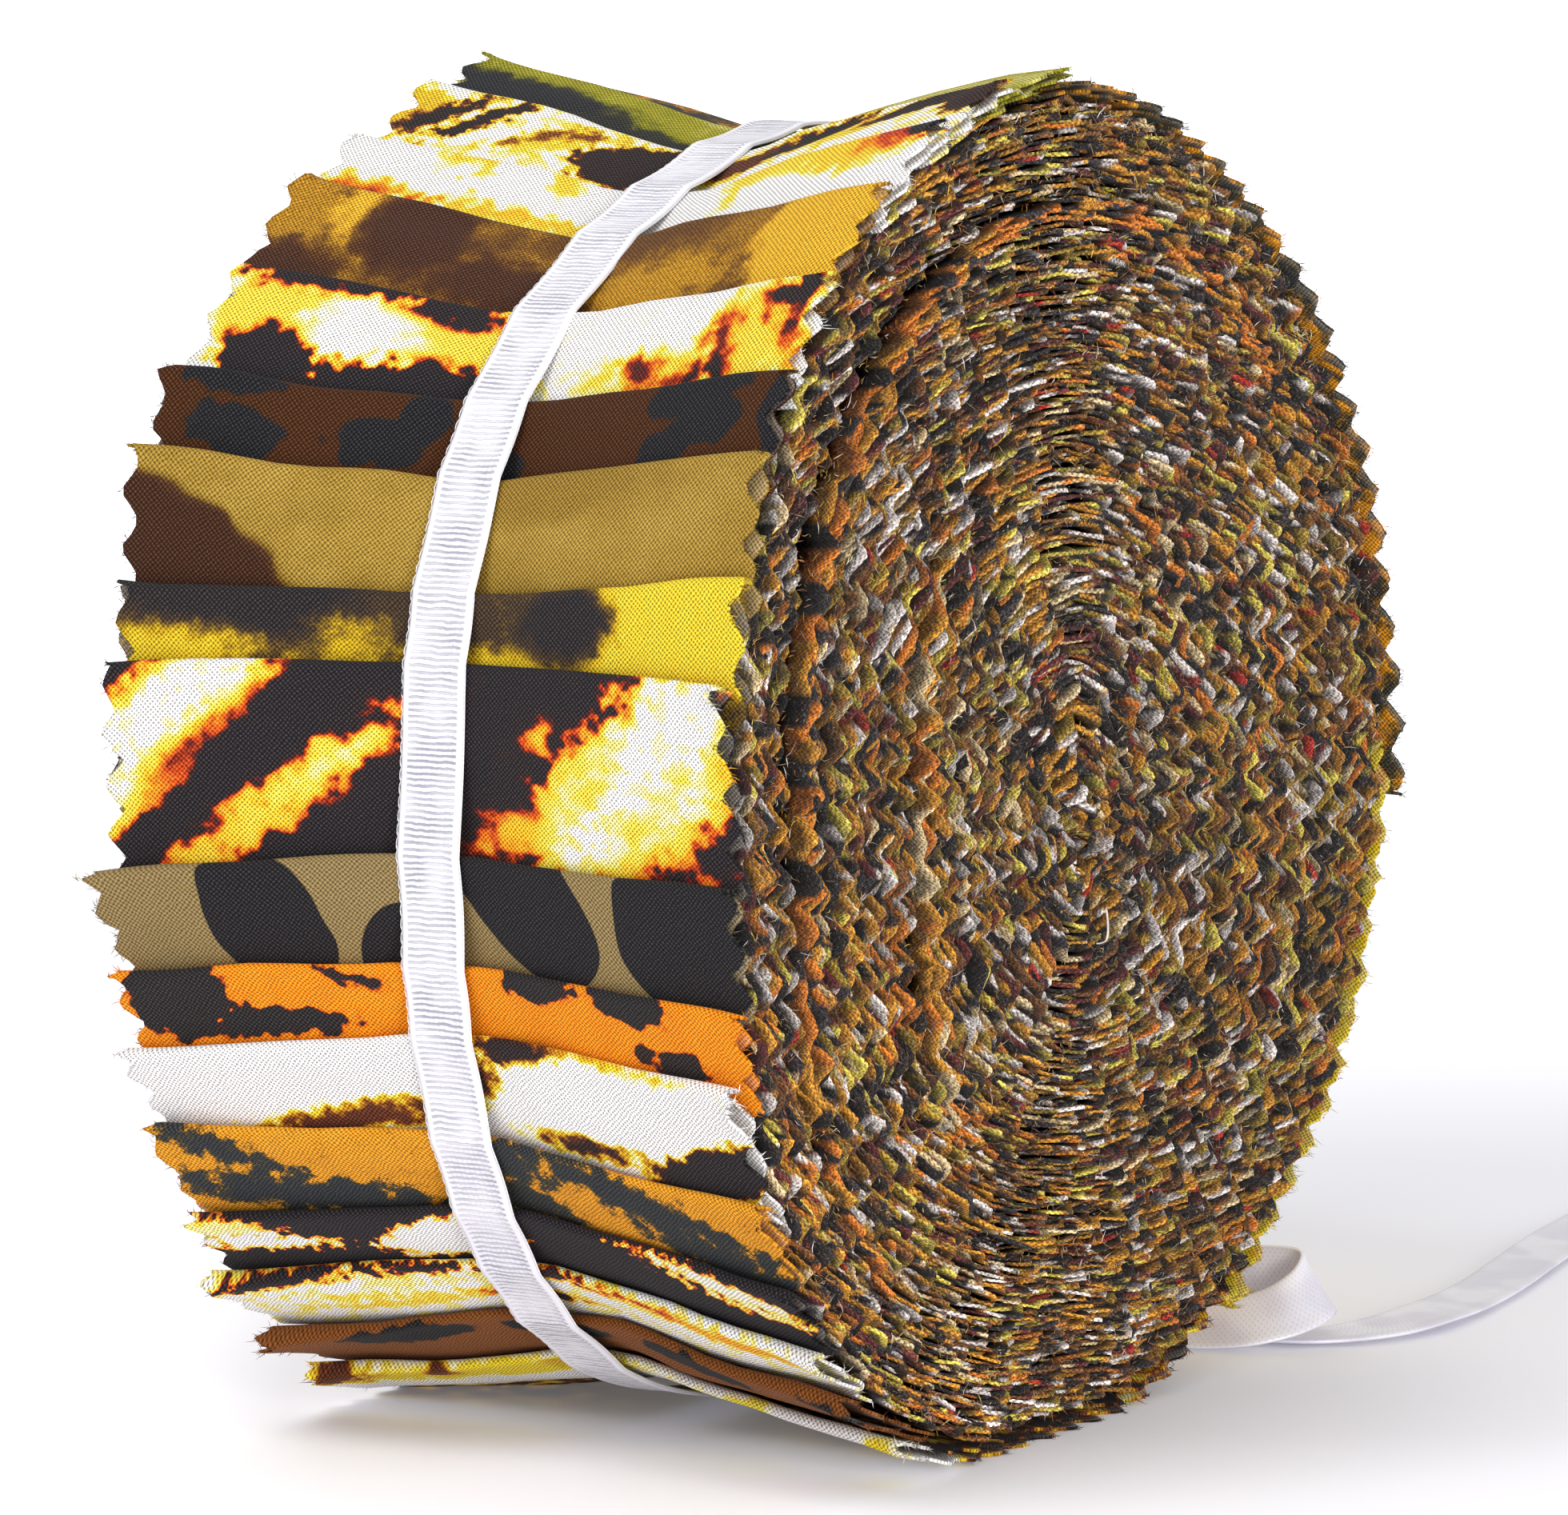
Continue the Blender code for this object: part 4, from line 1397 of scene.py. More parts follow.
class WoundLayer:
    """One of a face's two interleaved layers: a closed wedge along the spiral, column by column."""

    def __init__(self, winding: Winding, face: Face, layer: Layer, steps: int) -> None:
        """Lay out the columns, and seed what is drawn for them.

        Args:
            winding: The winding.
            face: The face on which it shows.
            layer: The cloth of each doubled strip.
            steps: Columns for each tooth.
        """
        self.winding, self.shape, self.wear = winding, winding.shape, winding.wear
        self.side, self.layer = face.value, layer.value
        self.name = f"winding_{face.name.lower()}_{layer.name.lower()}"
        self.turn, self.length = winding.course(steps)
        self.number = np.floor(self.turn).astype(int)
        self.angle = -360.0 * self.turn
        self.round_x = 2.6 * np.cos(np.radians(self.angle))
        self.round_y = 2.6 * np.sin(np.radians(self.angle))
        face_seed = winding.seed + self.side * 3
        seed = face_seed + self.layer
        self.shared = SmoothNoise(face_seed)
        self.noise, self.fine = SmoothNoise(seed), SmoothNoise(seed + 40)
        self.nest, self.random = np.random.default_rng(face_seed), np.random.default_rng(seed)
        self.sectors = {proud.number: self.sector(proud) for proud in winding.proud_turns}

    def sector(self, proud: ProudTurn) -> Array:
        """Return how strongly each column belongs to a proud turn's sector, from 0 to 1."""
        away = np.abs(np.mod(self.angle - proud.middle + 180.0, 360.0) - 180.0)
        return held(1.5 - 1.5 * away / proud.reach)

    def teeth(self) -> Array:
        """Return each column's place in its row of teeth, which nests with the rows of its bunch."""
        wear, turns, number, nest = self.wear, self.winding.turns, self.number, self.nest
        group = np.searchsorted(np.cumsum(nest.integers(*wear.bunch, turns)), number, side="right")
        bunches = [number[group == g] for g in range(turns)]
        middle = np.array([bunch.mean() + 0.5 if bunch.size else 0.0 for bunch in bunches])
        count = np.rint(middle / turns * 2.0 * np.pi * self.shape.mean_radius / self.shape.tooth_pitch)
        teeth = -self.turn * count[group] + nest.uniform(0.0, 1.0, turns)[group]
        teeth += (number * nest.normal(0.0, wear.turn_slip, turns)[group]
                  + wear.layer_slip * self.layer * nest.normal(0.0, 1.0, turns)[group])
        teeth += (wear.face_drift * self.shared(self.turn / 9.0 + self.round_x, self.round_y)
                  + wear.turn_drift * self.noise(self.length / 14.0, number * 4.1))
        return teeth

    def push(self) -> Array:
        """Return how far each column's tip stands out of the face."""
        wear, number = self.wear, self.number
        push = self.random.normal(0.0, wear.own_push, self.winding.turns + 1)[number]
        push += (wear.face_push * self.shared(self.turn / 4.0 + self.round_x, self.round_y + 30.0)
                 + wear.turn_push * self.noise(self.length / 22.0, number * 3.7))
        for proud in self.winding.proud_turns:
            outside = (number > proud.number) & (number < proud.number + wear.dip_turns)
            push -= np.where(outside, wear.dip * self.sectors[proud.number], 0.0)
        for proud in self.winding.proud_turns:
            share = self.sectors[proud.number]
            push = np.where((number == proud.number) & (share > 0.0), proud.out * share, push)
        return push

    def edge(self) -> tuple[Array, Array]:
        """Return how far out each column's tip reaches along the axis, and how far it curls."""
        wear, number = self.wear, self.number
        teeth, push = self.teeth(), self.push()
        tooth = (np.floor(teeth + 0.5).astype(int) * 7 + number * 131) % wear.tooth_kinds
        jitter = self.random.uniform(-1.0, 1.0, (3, wear.tooth_kinds))[:, tooth]
        wave = saw(teeth + wear.tooth_slip * jitter[1]) ** wear.tooth_power
        worn = self.random.uniform(size=wear.tooth_kinds) < wear.blunt_share
        blunt = np.where(worn, wear.blunt, 0.0)[tooth] - wear.uneven * jitter[0]
        tip = (self.winding.tip_y + push - self.shape.tooth_depth * wear.tooth_share * wave
               - blunt * (1.0 - wave))
        tip = np.minimum(tip + wear.frayed * self.fine(self.length / 0.6, number * 2.9),
                         self.shape.width / 2 + wear.past_rim)
        curl = (wear.tooth_curl * jitter[2] * (1.0 - wave)
                + wear.turn_curl * self.noise(self.length / 2.6, number * 2.3 + 9.0))
        return tip, curl

    def tints(self) -> Array:
        """Return each column's linear colour: short patches out of one cotton's colours after another, with
        painted light on the outer turns towards one side.
        """
        colours, random, length = self.winding.colours, self.random, self.length
        cottons = np.cumsum(random.uniform(*colours.cotton_length, colours.cottons))
        families = random.integers(0, len(EDGE_FAMILIES), colours.cottons)
        family = families[np.searchsorted(cottons, length)]
        count = int(colours.patches_per_mm * length[-1])
        breaks = np.cumsum(random.gamma(*colours.patch_spread, count) + colours.patch_least)
        patch = np.searchsorted(breaks, length)
        pick = random.integers(0, len(EDGE_FAMILIES[0]), count + 1)[patch]
        table = np.array([[EDGE_TINTS[name] for name in names] for names in EDGE_FAMILIES])
        tint = table[family, pick]
        red = (random.uniform(size=count + 1) < colours.red_share)[patch]
        tint = np.where(red[:, None], EDGE_TINTS["red"], tint)
        bright = random.uniform(*colours.brightness, count + 1)[patch]
        for proud in self.winding.proud_turns:
            own = np.array([EDGE_TINTS[name] for name in proud.tints])[patch // 2 % len(proud.tints)]
            mine = (self.number == proud.number) & (self.sectors[proud.number] > 0.3)
            tint = np.where(mine[:, None], own, tint)
            bright = np.where(mine, colours.proud_brightness, bright)
        # Painted light: the outer turns are brightened towards the lower side of the roll.
        painted_lit = held(np.cos(np.radians(self.angle - colours.painted_light_side)))
        gain = 1.0 + colours.painted_light_gain * self.turn / self.winding.turns * painted_lit
        return tint * bright[:, None] * gain[:, None]

    def data(self) -> Mesh:
        """Return the layer's mesh, with a tint for each vertex."""
        wear, winding, angle, turn, length = self.wear, self.winding, self.angle, self.turn, self.length
        tip, curl = self.edge()
        sway = wear.sway * self.shared(length / 9.0, turn * 0.7)
        bend = wear.rim_bend + wear.eye_bend * (1.0 - turn / winding.turns)
        sway += bend * self.shared(self.round_x + 9.0, self.round_y + turn / 7.0)
        half = winding.layer_half * (1.0 + wear.thickness * self.fine(length / 2.2, self.number * 1.9))
        spacing = self.shape.spacing(angle, turn / winding.turns)
        last = len(turn) - 1
        taper = np.minimum(1.0, np.minimum(np.arange(last + 1), last - np.arange(last + 1)) / 6.0)
        down = np.array([0.0, 4.2, 4.5, 8.7])

        def place(column: Array, row: Array) -> Array:
            """Return the wedge's points: its root, its outer tip, its inner tip and its root again."""
            c, r = column.astype(int), row.astype(int)
            edge = (r == 1) | (r == 2)
            wide = np.array([0.2, 1.0, -1.0, 0.2])[r] * half[c] * taper[c]
            lip = wear.lip * self.fine(length[c] / 0.7 + 7.0, r * 5.1)
            y = np.where(edge, winding.root_y + (tip[c] + lip - winding.root_y) * taper[c], winding.root_y)
            out = (self.layer * winding.layer_offset + wide) * spacing[c] + sway[c]
            out += edge * (curl[c] + wear.lip_curl * self.fine(length[c] / 0.7, r * 3.3 + 50.0))
            share = (turn[c] - 0.5) / winding.turns
            return self.shape.face_point(angle[c], share, self.side * y, out - winding.layer_inset)

        def cloth(column: Array, row: Array) -> Array:
            """Return the length along the spiral and the way round the wedge."""
            return np.stack([length[column.astype(int)], down[row.astype(int)]], -1)

        data = grid_data(self.name, last, 3, place, cloth)
        set_tint(data, self.tints()[np.arange(len(data.vertices)) % (last + 1)])
        close_seams(data)
        return data


@dataclass
class FoldedStrip:
    """One strip's visible end: a doubled cloth with a soft fold and two pinked rims."""

    shape: RollShape
    index: int
    front: Material
    back: Material
    wrinkles: SmoothNoise
    thickness: float = 0.28
    steps_per_tooth: int = 6
    least_columns: int = 14
    fold_steps: int = 6
    fold_reach: float = 0.55
    fold_roll: float = 0.36
    fold_wander: float = 0.5
    threads_per_mm: float = 18.0
    rim_steps: tuple[float, ...] = (0.0, 0.45, 1.0, 1.7, 2.7, 4.2, 6.5, 9.5, 13.0, 16.5, 20.0, 23.0, 26.0,
                                    29.0, 31.75)
    tooth_fade: float = 5.0
    tooth_power: float = 1.2
    strip_phase: float = 0.37
    fold_phase: float = 0.45
    far_phase: float = 1.7
    uneven: float = 0.35
    frayed: float = 0.4
    worn: float = 0.6
    pleats: float = 0.55
    ripples: float = 0.28
    dents: float = 0.16
    flap: float = 0.8
    flap_reach: float = 7.0
    first_seed: int = 300
    fray_seed: int = 500
    length: float = field(init=False)
    outer: int = field(init=False)
    across: Array = field(init=False)
    from_rim: Array = field(init=False)
    noise: SmoothNoise = field(init=False)

    def __post_init__(self) -> None:
        """Lay out the cloth's grid."""
        middle = np.array(0.0)
        arc = float(self.hidden_angle(middle) - self.shape.fold_angle(self.index, middle))
        self.length = math.radians(arc) * self.shape.mean_radius
        teeth = self.length / self.shape.tooth_pitch
        self.outer = max(self.least_columns, round(teeth * self.steps_per_tooth))
        half = self.shape.width / 2
        near, far = [-half + d for d in self.rim_steps], [half - d for d in self.rim_steps[-2::-1]]
        self.across = np.array(near + far)
        self.from_rim = half - np.abs(self.across)
        self.noise = SmoothNoise(self.first_seed + self.index)

    @property
    def name(self) -> str:
        """Return the strip's node name."""
        return f"strip_{self.index + 1:02d}"

    def hidden_angle(self, y: Array) -> Array:
        """Return the angle at which the strip ends under the next one."""
        ramp = self.shape.ramp_angle(self.index + 1, y)
        return self.shape.fold_angle(self.index + 1, y) + self.shape.hidden_phase * ramp

    def wrinkle(self, angle: Array, y: Array) -> Array:
        """Return the shared soft relief of the cloth, in pleats that run out from the ribbon.

        Args:
            angle: Angles in degrees.
            y: Places along the axis.

        Returns:
            The heights.
        """
        away = np.abs(y)
        near_band = held((away - 3.0) / 4.0) * held((28.0 - away) / 18.0)
        pleat = self.wrinkles(angle / 4.5, y / 16.0)
        ripple = self.wrinkles(angle / 10.0 + 90.0, y / 9.0 + 40.0)
        return self.pleats * near_band * pleat + self.ripples * held((31.0 - away) / 8.0) * ripple

    def rim(self, column: Array, row: Array, bend: Array, reach: Array) -> Array:
        """Return the place along the axis of the cloth's points, with the teeth of both rims.

        Args:
            column: Columns.
            row: Rows.
            bend: Progress round the fold, from 0 to 1.
            reach: How near to the fold, from 0 to 1.

        Returns:
            The places.
        """
        end, noise = STRIP_ENDS[self.index], self.noise
        side = np.sign(self.across[row])
        fade = held(1.0 - self.from_rim[row] / self.tooth_fade) ** 2
        tooth = (column / self.steps_per_tooth + self.strip_phase * self.index
                 + self.fold_phase * bend + self.far_phase * (side > 0))
        wave = saw(tooth) ** self.tooth_power
        wave = wave * (1.0 + self.uneven * noise(np.floor(tooth) * 3.1, side * 7.0 + 40.0))
        worn = (self.frayed * noise(column / 0.8, row * 0.9 + 9.0)
                + self.worn * np.abs(noise(column / 9.0, side * 4.0 + 20.0)))
        shift = np.where(side < 0, end.near_shift, end.far_shift) * reach
        depth = self.shape.tooth_depth * (0.1 + 0.9 * wave)
        y = self.across[row] + side * fade * (shift - depth - worn * 0.5)
        return y + side * fade * 0.3 * (bend - 0.5) * noise(side * 9.0 + column / 40.0, bend * 2.0 + 70.0)

    def walk(self, column: Array, row: Array) -> tuple[Array, ...]:
        """Return where the cloth runs: down to its fold edge, round it and back below.

        Args:
            column: Columns.
            row: Rows.

        Returns:
            The place along the axis, the angle, the share of the way to the inner cloth, and the
            distance down from the fold.
        """
        radius = self.shape.mean_radius
        share_out = held(column / self.outer)
        share_in = held((column - self.outer - self.fold_steps) / self.outer)
        bend = held((column - self.outer) / self.fold_steps)
        y = self.rim(column, row, bend, share_out * (1.0 - share_in))
        start = self.shape.fold_angle(self.index, y)
        start = start + math.degrees(self.fold_wander / radius) * self.noise(y / 9.0, np.full_like(y, 3.5))
        round_off = np.degrees(self.fold_roll / radius) * (1.0 - np.sin(np.pi * bend))
        away = np.where(column <= self.outer, 1.0 - share_out, share_in)
        angle = start + round_off + (self.hidden_angle(y) - start - round_off) * away
        down = (angle - start) * math.radians(1.0) * radius
        down = np.where(column <= self.outer + self.fold_steps / 2, down, -down)
        return y, angle, 0.5 - 0.5 * np.cos(np.pi * bend), down + self.fold_reach * (1.0 - 2.0 * bend)

    def place(self, column: Array, row: Array) -> Array:
        """Return the cloth's points in metres.

        Args:
            column: Columns.
            row: Rows.

        Returns:
            One row of x, y and z for each pair.
        """
        shape, row = self.shape, row.astype(int)
        y, angle, turned, _ = self.walk(column, row)
        across = self.across[row] / (shape.width / 2)
        phase = shape.phase(self.index, angle, y)
        level = shape.step * (1.0 + shape.lowest_level - phase)
        lift = shape.corner_lift(STRIP_ENDS[self.index], phase, across)
        curl = held(1.0 - self.from_rim[row] / self.flap_reach) ** 2 * held(1.0 - phase)
        loose = np.abs(self.noise(angle / 4.0, across * 3.0 + 60.0))
        flap = self.flap * curl * loose * (0.5 + 0.5 * turned)
        top = shape.gap + shape.slab + level + lift + flap - self.thickness / 2
        low = shape.gap + level + 0.3 * lift + self.thickness / 2
        soft = self.wrinkle(angle, y) + self.dents * self.noise(angle / 2.6, y / 5.0 + 100.0)
        height = top + (low - top) * turned + soft * held(1.2 - 0.4 * phase)
        return shape.around(angle, shape.layer_radius(angle, y, height), y)

    def cloth(self, column: Array, row: Array) -> Array:
        """Return the cloth coordinates."""
        y, _, _, down = self.walk(column, row.astype(int))
        return np.stack([self.shape.width / 2 - y, down], axis=-1)

    def build(self) -> None:
        """Make the strip and the frayed threads of its rims."""
        columns, rows = 2 * self.outer + self.fold_steps, len(self.across) - 1
        data = grid_data(self.name, columns, rows, self.place, self.cloth)
        piece = add_piece(self.name + "_cloth", data, [self.front, self.back], [self.name])
        thicken(piece, self.thickness).material_offset = 1
        random = np.random.default_rng(self.fray_seed + self.index)
        count = int(self.threads_per_mm * self.length)
        column = random.uniform(0.0, columns - 0.4 * self.outer, count)
        row = np.where(random.uniform(size=count) < 0.5, 0, rows)
        way = random.normal(0.0, 0.55, (count, 3))
        way[:, 1] += np.where(row == 0, -1.0, 1.0)
        threads = Threads(random, self.place(column, row), way, random.uniform(0.2, 0.8, count) ** 1.2)
        fray = threads.data(self.name + "_fray", self.cloth(column, row))
        add_piece(fray.name, fray, [self.front])


@dataclass(frozen=True)
class TapePoint:
    """A point on a tape's middle line, and how far its width leans: 0 upright, 90 flat."""

    x: float
    y: float
    z: float
    lean: float


LOOP_ROUTE = (
    TapePoint(36.5, -4.1, 11.5, 52), TapePoint(36.6, -6.4, 10.6, 46), TapePoint(37, -12.5, 5.8, 45),
    TapePoint(38.3, -20, 2.6, 50), TapePoint(40, -26, 2.5, 50), TapePoint(42.8, -30.2, 3.8, 42),
    TapePoint(46.3, -31.4, 5.3, 36), TapePoint(49, -29, 5.8, 24), TapePoint(48.2, -22.5, 5.4, 0),
    TapePoint(45.8, -15.5, 5.8, -16), TapePoint(40.8, -9.5, 8.6, -36), TapePoint(38, -6.4, 9.9, -50),
    TapePoint(37.7, -4.4, 10.1, -52),
)

TAIL_ROUTE = (
    TapePoint(38.5, 0, 9, 90), TapePoint(40.3, 0, 6.4, 90), TapePoint(43, -3.8, 2.6, 90),
    TapePoint(43.6, -12, 0.7, 90), TapePoint(43.9, -19, 0.6, 90), TapePoint(44.9, -25.5, 0.6, 90),
    TapePoint(47.2, -31.2, 0.6, 89), TapePoint(52.6, -35.2, 0.9, 86), TapePoint(60, -36.4, 1.1, 85),
    TapePoint(68.5, -35.9, 0.9, 85), TapePoint(79, -34.4, 0.8, 86), TapePoint(92, -31.8, 0.8, 86),
    TapePoint(104, -29.4, 0.8, 86), TapePoint(116, -27.4, 0.7, 87), TapePoint(128, -25.8, 0.6, 88),
)


@dataclass
class RibbonTie:
    """The ribbon: a band round the waist, its knot, a bow loop and one tail."""

    shape: RollShape
    width: float = 6.0
    slab: float = 1.0
    thickness: float = 0.32
    skew: float = 0.6
    skew_angle: float = 95.0
    drift: float = 0.9
    drift_angle: float = 195.0
    rib_pitch: float = 0.508
    rib_height: float = 0.035
    picot_steps: int = 1200
    knot_angle: float = 308.0
    knot_size: tuple[float, float, float] = (8.0, 7.0, 4.0)
    segment: float = 0.8
    band_columns: int = 720
    cords: tuple[float, ...] = (0.0, 0.04, 0.12, 0.16, 0.3, 0.5, 0.7, 0.84, 0.88, 0.96, 1.0)
    satin: Material = field(init=False)
    twill: Material = field(init=False)
    thread: Material = field(init=False)

    def __post_init__(self) -> None:
        """Make the ribbon's three finishes."""
        finish = RibbonFinish(self.width)
        self.satin, self.twill, self.thread = finish.satin(), finish.twill(), finish.cord()

    def build_tail(self) -> None:
        piece, line = self.tape("ribbon_tail_tape", TAIL_ROUTE, "ribbon_tail")

    def build(self) -> None:
        """Make the band, the knot and the loop."""
        self.band()
        self.knot()
        self.tape("ribbon_loop_tape", LOOP_ROUTE, "ribbon_loop")

    def band_height(self, angle: Array) -> Array:
        """Return the height of the band's middle surface above the wound roll.

        Args:
            angle: Angles in degrees.

        Returns:
            The heights, a little lower between one fold edge and the next.
        """
        folds = np.array([float(self.shape.fold_angle(i, np.array(0.0))) for i in range(len(STRIP_ENDS))])
        folds = np.append(folds, folds[0] + 360.0)
        at = np.mod(angle - folds[0], 360.0) + folds[0]
        index = np.clip(np.searchsorted(folds, at, side="right") - 1, 0, len(folds) - 2)
        share = (at - folds[index]) / (folds[index + 1] - folds[index])
        span = (folds[index + 1] - folds[index]) * math.radians(1.0) * self.shape.mean_radius
        sag = np.clip(span / 14.0, 0.2, 1.0) * 0.6 * np.sin(np.pi * share)
        return self.shape.fold_top + self.thickness / 2 + 0.15 - sag

    def band(self) -> None:
        """Make the ring round the waist, with its corded edges and the picots of its far edge."""
        columns = self.band_columns
        shares = np.array(self.cords)

        def across(angle: Array, share: Array) -> Array:
            """Return the place along the axis."""
            lean = self.skew * np.cos(np.radians(angle - self.skew_angle))
            lean = lean - self.drift * held(1.6 - np.abs(angle - self.drift_angle) / 60.0)
            return -(self.width * (share - 0.5) + lean)

        def place(column: Array, row: Array) -> Array:
            """Return the band's points; its edges are corded."""
            angle = 360.0 * (column % columns) / columns
            share = shares[row.astype(int)]
            rib = np.where(column.astype(int) % 2 == 0, 1.0, -1.0) * ((share > 0.2) & (share < 0.8))
            height = self.band_height(angle) + self.cording(share, 0.1) + self.rib_height * rib
            radius = self.shape.layer_radius(angle, 0.0, height)
            return self.shape.around(angle, radius, across(angle, share))

        def cloth(column: Array, row: Array) -> Array:
            """Return the length along the band and the place across it."""
            return np.stack([column * self.rib_pitch, self.width * shares[row.astype(int)]], axis=-1)

        data = grid_data("ribbon_band", columns, len(shares) - 1, place, cloth)
        close_seams(data)
        piece = add_piece("ribbon_band_tape", data, [self.satin], ["ribbon_band"])
        thicken(piece, self.thickness)
        angles = np.linspace(0.0, 360.0, self.picot_steps + 1)
        bobble = 0.16 + 0.14 * np.abs(np.sin(np.arange(len(angles)) * math.pi / 4.0))
        radius = self.shape.layer_radius(angles, 0.0, self.band_height(angles))
        far_edge = self.shape.around(angles, radius, across(angles, np.zeros(len(angles))) + bobble)
        near_edge = self.shape.around(angles, radius, across(angles, np.ones(len(angles))) - 0.03)
        for name, line, size in (("ribbon_picots", far_edge, 0.06), ("ribbon_cord", near_edge, 0.08)):
            add_piece(name, tube_data(name, line[None], np.array([size * MM])), [self.thread])

    @staticmethod
    def cording(share: Array, height: float) -> Array:
        """Return the height that a tape's two corded edges add at shares of its width."""
        return np.where((share > 0.02) & (share < 0.14) | (share > 0.86) & (share < 0.98), height, 0.0)

    def knot(self) -> None:
        """Make the knot as a soft wrapped lump."""
        mesh = bmesh.new()
        bmesh.ops.create_cube(mesh, size=1.0)
        bmesh.ops.subdivide_edges(mesh, edges=mesh.edges[:], cuts=5, use_grid_fill=True)
        turn = math.radians(self.knot_angle)
        out = np.array([math.cos(turn), 0.0, math.sin(turn)])
        along, axis = np.array([math.sin(turn), 0.0, -math.cos(turn)]), np.array([0.0, 1.0, 0.0])
        height = self.shape.fold_top + self.shape.gap + self.slab + self.shape.gap + self.knot_size[2] / 2
        radius = self.shape.layer_radius(np.array(self.knot_angle), np.array(0.0), height)
        centre = self.shape.around(np.array(self.knot_angle), radius, np.array(0.0))
        for vertex in mesh.verts:
            local = np.array(vertex.co)
            rounder = local / max(1e-9, float(np.linalg.norm(local))) * 0.5
            local = local + (rounder - local) * 0.45
            groove = 1.0 - 0.1 * math.cos(local[0] * 4.0 * math.pi)
            size = np.array(self.knot_size) * (groove if local[2] > 0 else 1.0)
            offset = along * local[0] * size[0] + axis * local[1] * size[1] + out * local[2] * size[2]
            vertex.co = Vector(centre + offset * MM)
        layer = mesh.loops.layers.uv.new(CLOTH_MAP)
        for face in mesh.faces:
            for loop in face.loops:
                offset = (np.array(loop.vert.co) - centre) / MM
                loop[layer].uv = (float(offset @ along), float(offset[1]) + self.width / 2)
        mesh.normal_update()
        data = bpy.data.meshes.new("ribbon_knot")
        bmesh.ops.recalc_face_normals(mesh, faces=mesh.faces)
        mesh.to_mesh(data)
        mesh.free()
        piece = add_piece("ribbon_knot_wrap", data, [self.satin], ["ribbon_knot"])
        soft = piece.modifiers.new("soft", "SUBSURF")
        soft.levels = soft.render_levels = 1

    def route(self, points: Sequence[TapePoint]) -> tuple[Array, Array]:
        """Return a smooth line through a tape's route, and its lean.

        Args:
            points: The route.

        Returns:
            Points in metres, and leans in degrees.
        """
        table = np.array([(p.x, p.y, p.z, p.lean) for p in points])
        before, after = np.vstack([table[:1], table[:-1]]), np.vstack([table[1:], table[-1:]])
        steps = np.full((len(table), 1), 2.0)
        steps[0] = steps[-1] = 1.0
        slope = (after - before) / steps
        samples = []
        for i in range(len(table) - 1):
            run = float(np.linalg.norm(table[i + 1, :3] - table[i, :3]))
            pieces = max(1, round(run / self.segment))
            share = np.arange(pieces)[:, None] / pieces
            samples.append(hermite(table[i], table[i + 1], slope[i], slope[i + 1], 1.0, share))
        samples.append(table[-1:])
        line = np.concatenate(samples)
        return line[:, :3] * MM, line[:, 3]

    def tape(self, name: str, points: Sequence[TapePoint], node: str) -> tuple[bpy.types.Object, Array]:
        """Make a stretch of ribbon along a route.

        Args:
            name: The piece's name.
            points: The route.
            node: The CAD node that it stands for.

        Returns:
            The piece and its middle line in metres.
        """
        line, lean = self.route(points)
        ahead = np.gradient(line, axis=0)
        sideways = np.stack([-ahead[:, 1], ahead[:, 0], np.zeros(len(line))], axis=-1)
        sideways /= np.linalg.norm(sideways, axis=1, keepdims=True)
        tilt = np.radians(lean)[:, None]
        wide = np.array([0.0, 0.0, 1.0]) * np.cos(tilt) + sideways * np.sin(tilt)
        face = np.cross(ahead / np.linalg.norm(ahead, axis=1, keepdims=True), wide)
        length = run_length(line) / MM
        shares = np.array(self.cords)

        def place(column: Array, row: Array) -> Array:
            """Return the tape's points; its edges are corded."""
            c, share = column.astype(int), shares[row.astype(int)]
            sideways = ((share - 0.5) * self.width * MM)[:, None]
            return line[c] + wide[c] * sideways + face[c] * (self.cording(share, 0.05) * MM)[:, None]

        def cloth(column: Array, row: Array) -> Array:
            """Return the length along the tape and the place across it."""
            return np.stack([length[column.astype(int)], self.width * shares[row.astype(int)]], axis=-1)

        data = grid_data(name, len(line) - 1, len(shares) - 1, place, cloth)
        piece = add_piece(name, data, [self.twill], [node])
        thicken(piece, self.thickness)
        return piece, line


@dataclass
class Threads:
    """Thin curved three-sided threads that end in points."""

    random: np.random.Generator
    starts: Array
    ways: Array
    lengths: Array
    points: int = 3
    thick: tuple[float, float] = (0.05, 0.10)

    def lines(self) -> Array:
        """Return each thread's middle line, in metres and above the floor."""
        way = self.ways / np.linalg.norm(self.ways, axis=1, keepdims=True) * self.lengths[:, None] * MM
        bend = self.random.normal(0.0, 0.45, way.shape) * self.lengths[:, None] * MM
        steps = np.linspace(0.0, 1.0, self.points)[:, None]
        lines = self.starts[:, None, :] + way[:, None, :] * steps + bend[:, None, :] * steps ** 2
        lines[..., 2] = np.maximum(lines[..., 2], 0.05 * MM)
        return lines

    def data(self, name: str, roots: Array) -> Mesh:
        """Return the threads' mesh."""
        size = self.random.uniform(*self.thick, len(self.starts)) * MM / 2
        return tube_data(name, self.lines(), size, roots)


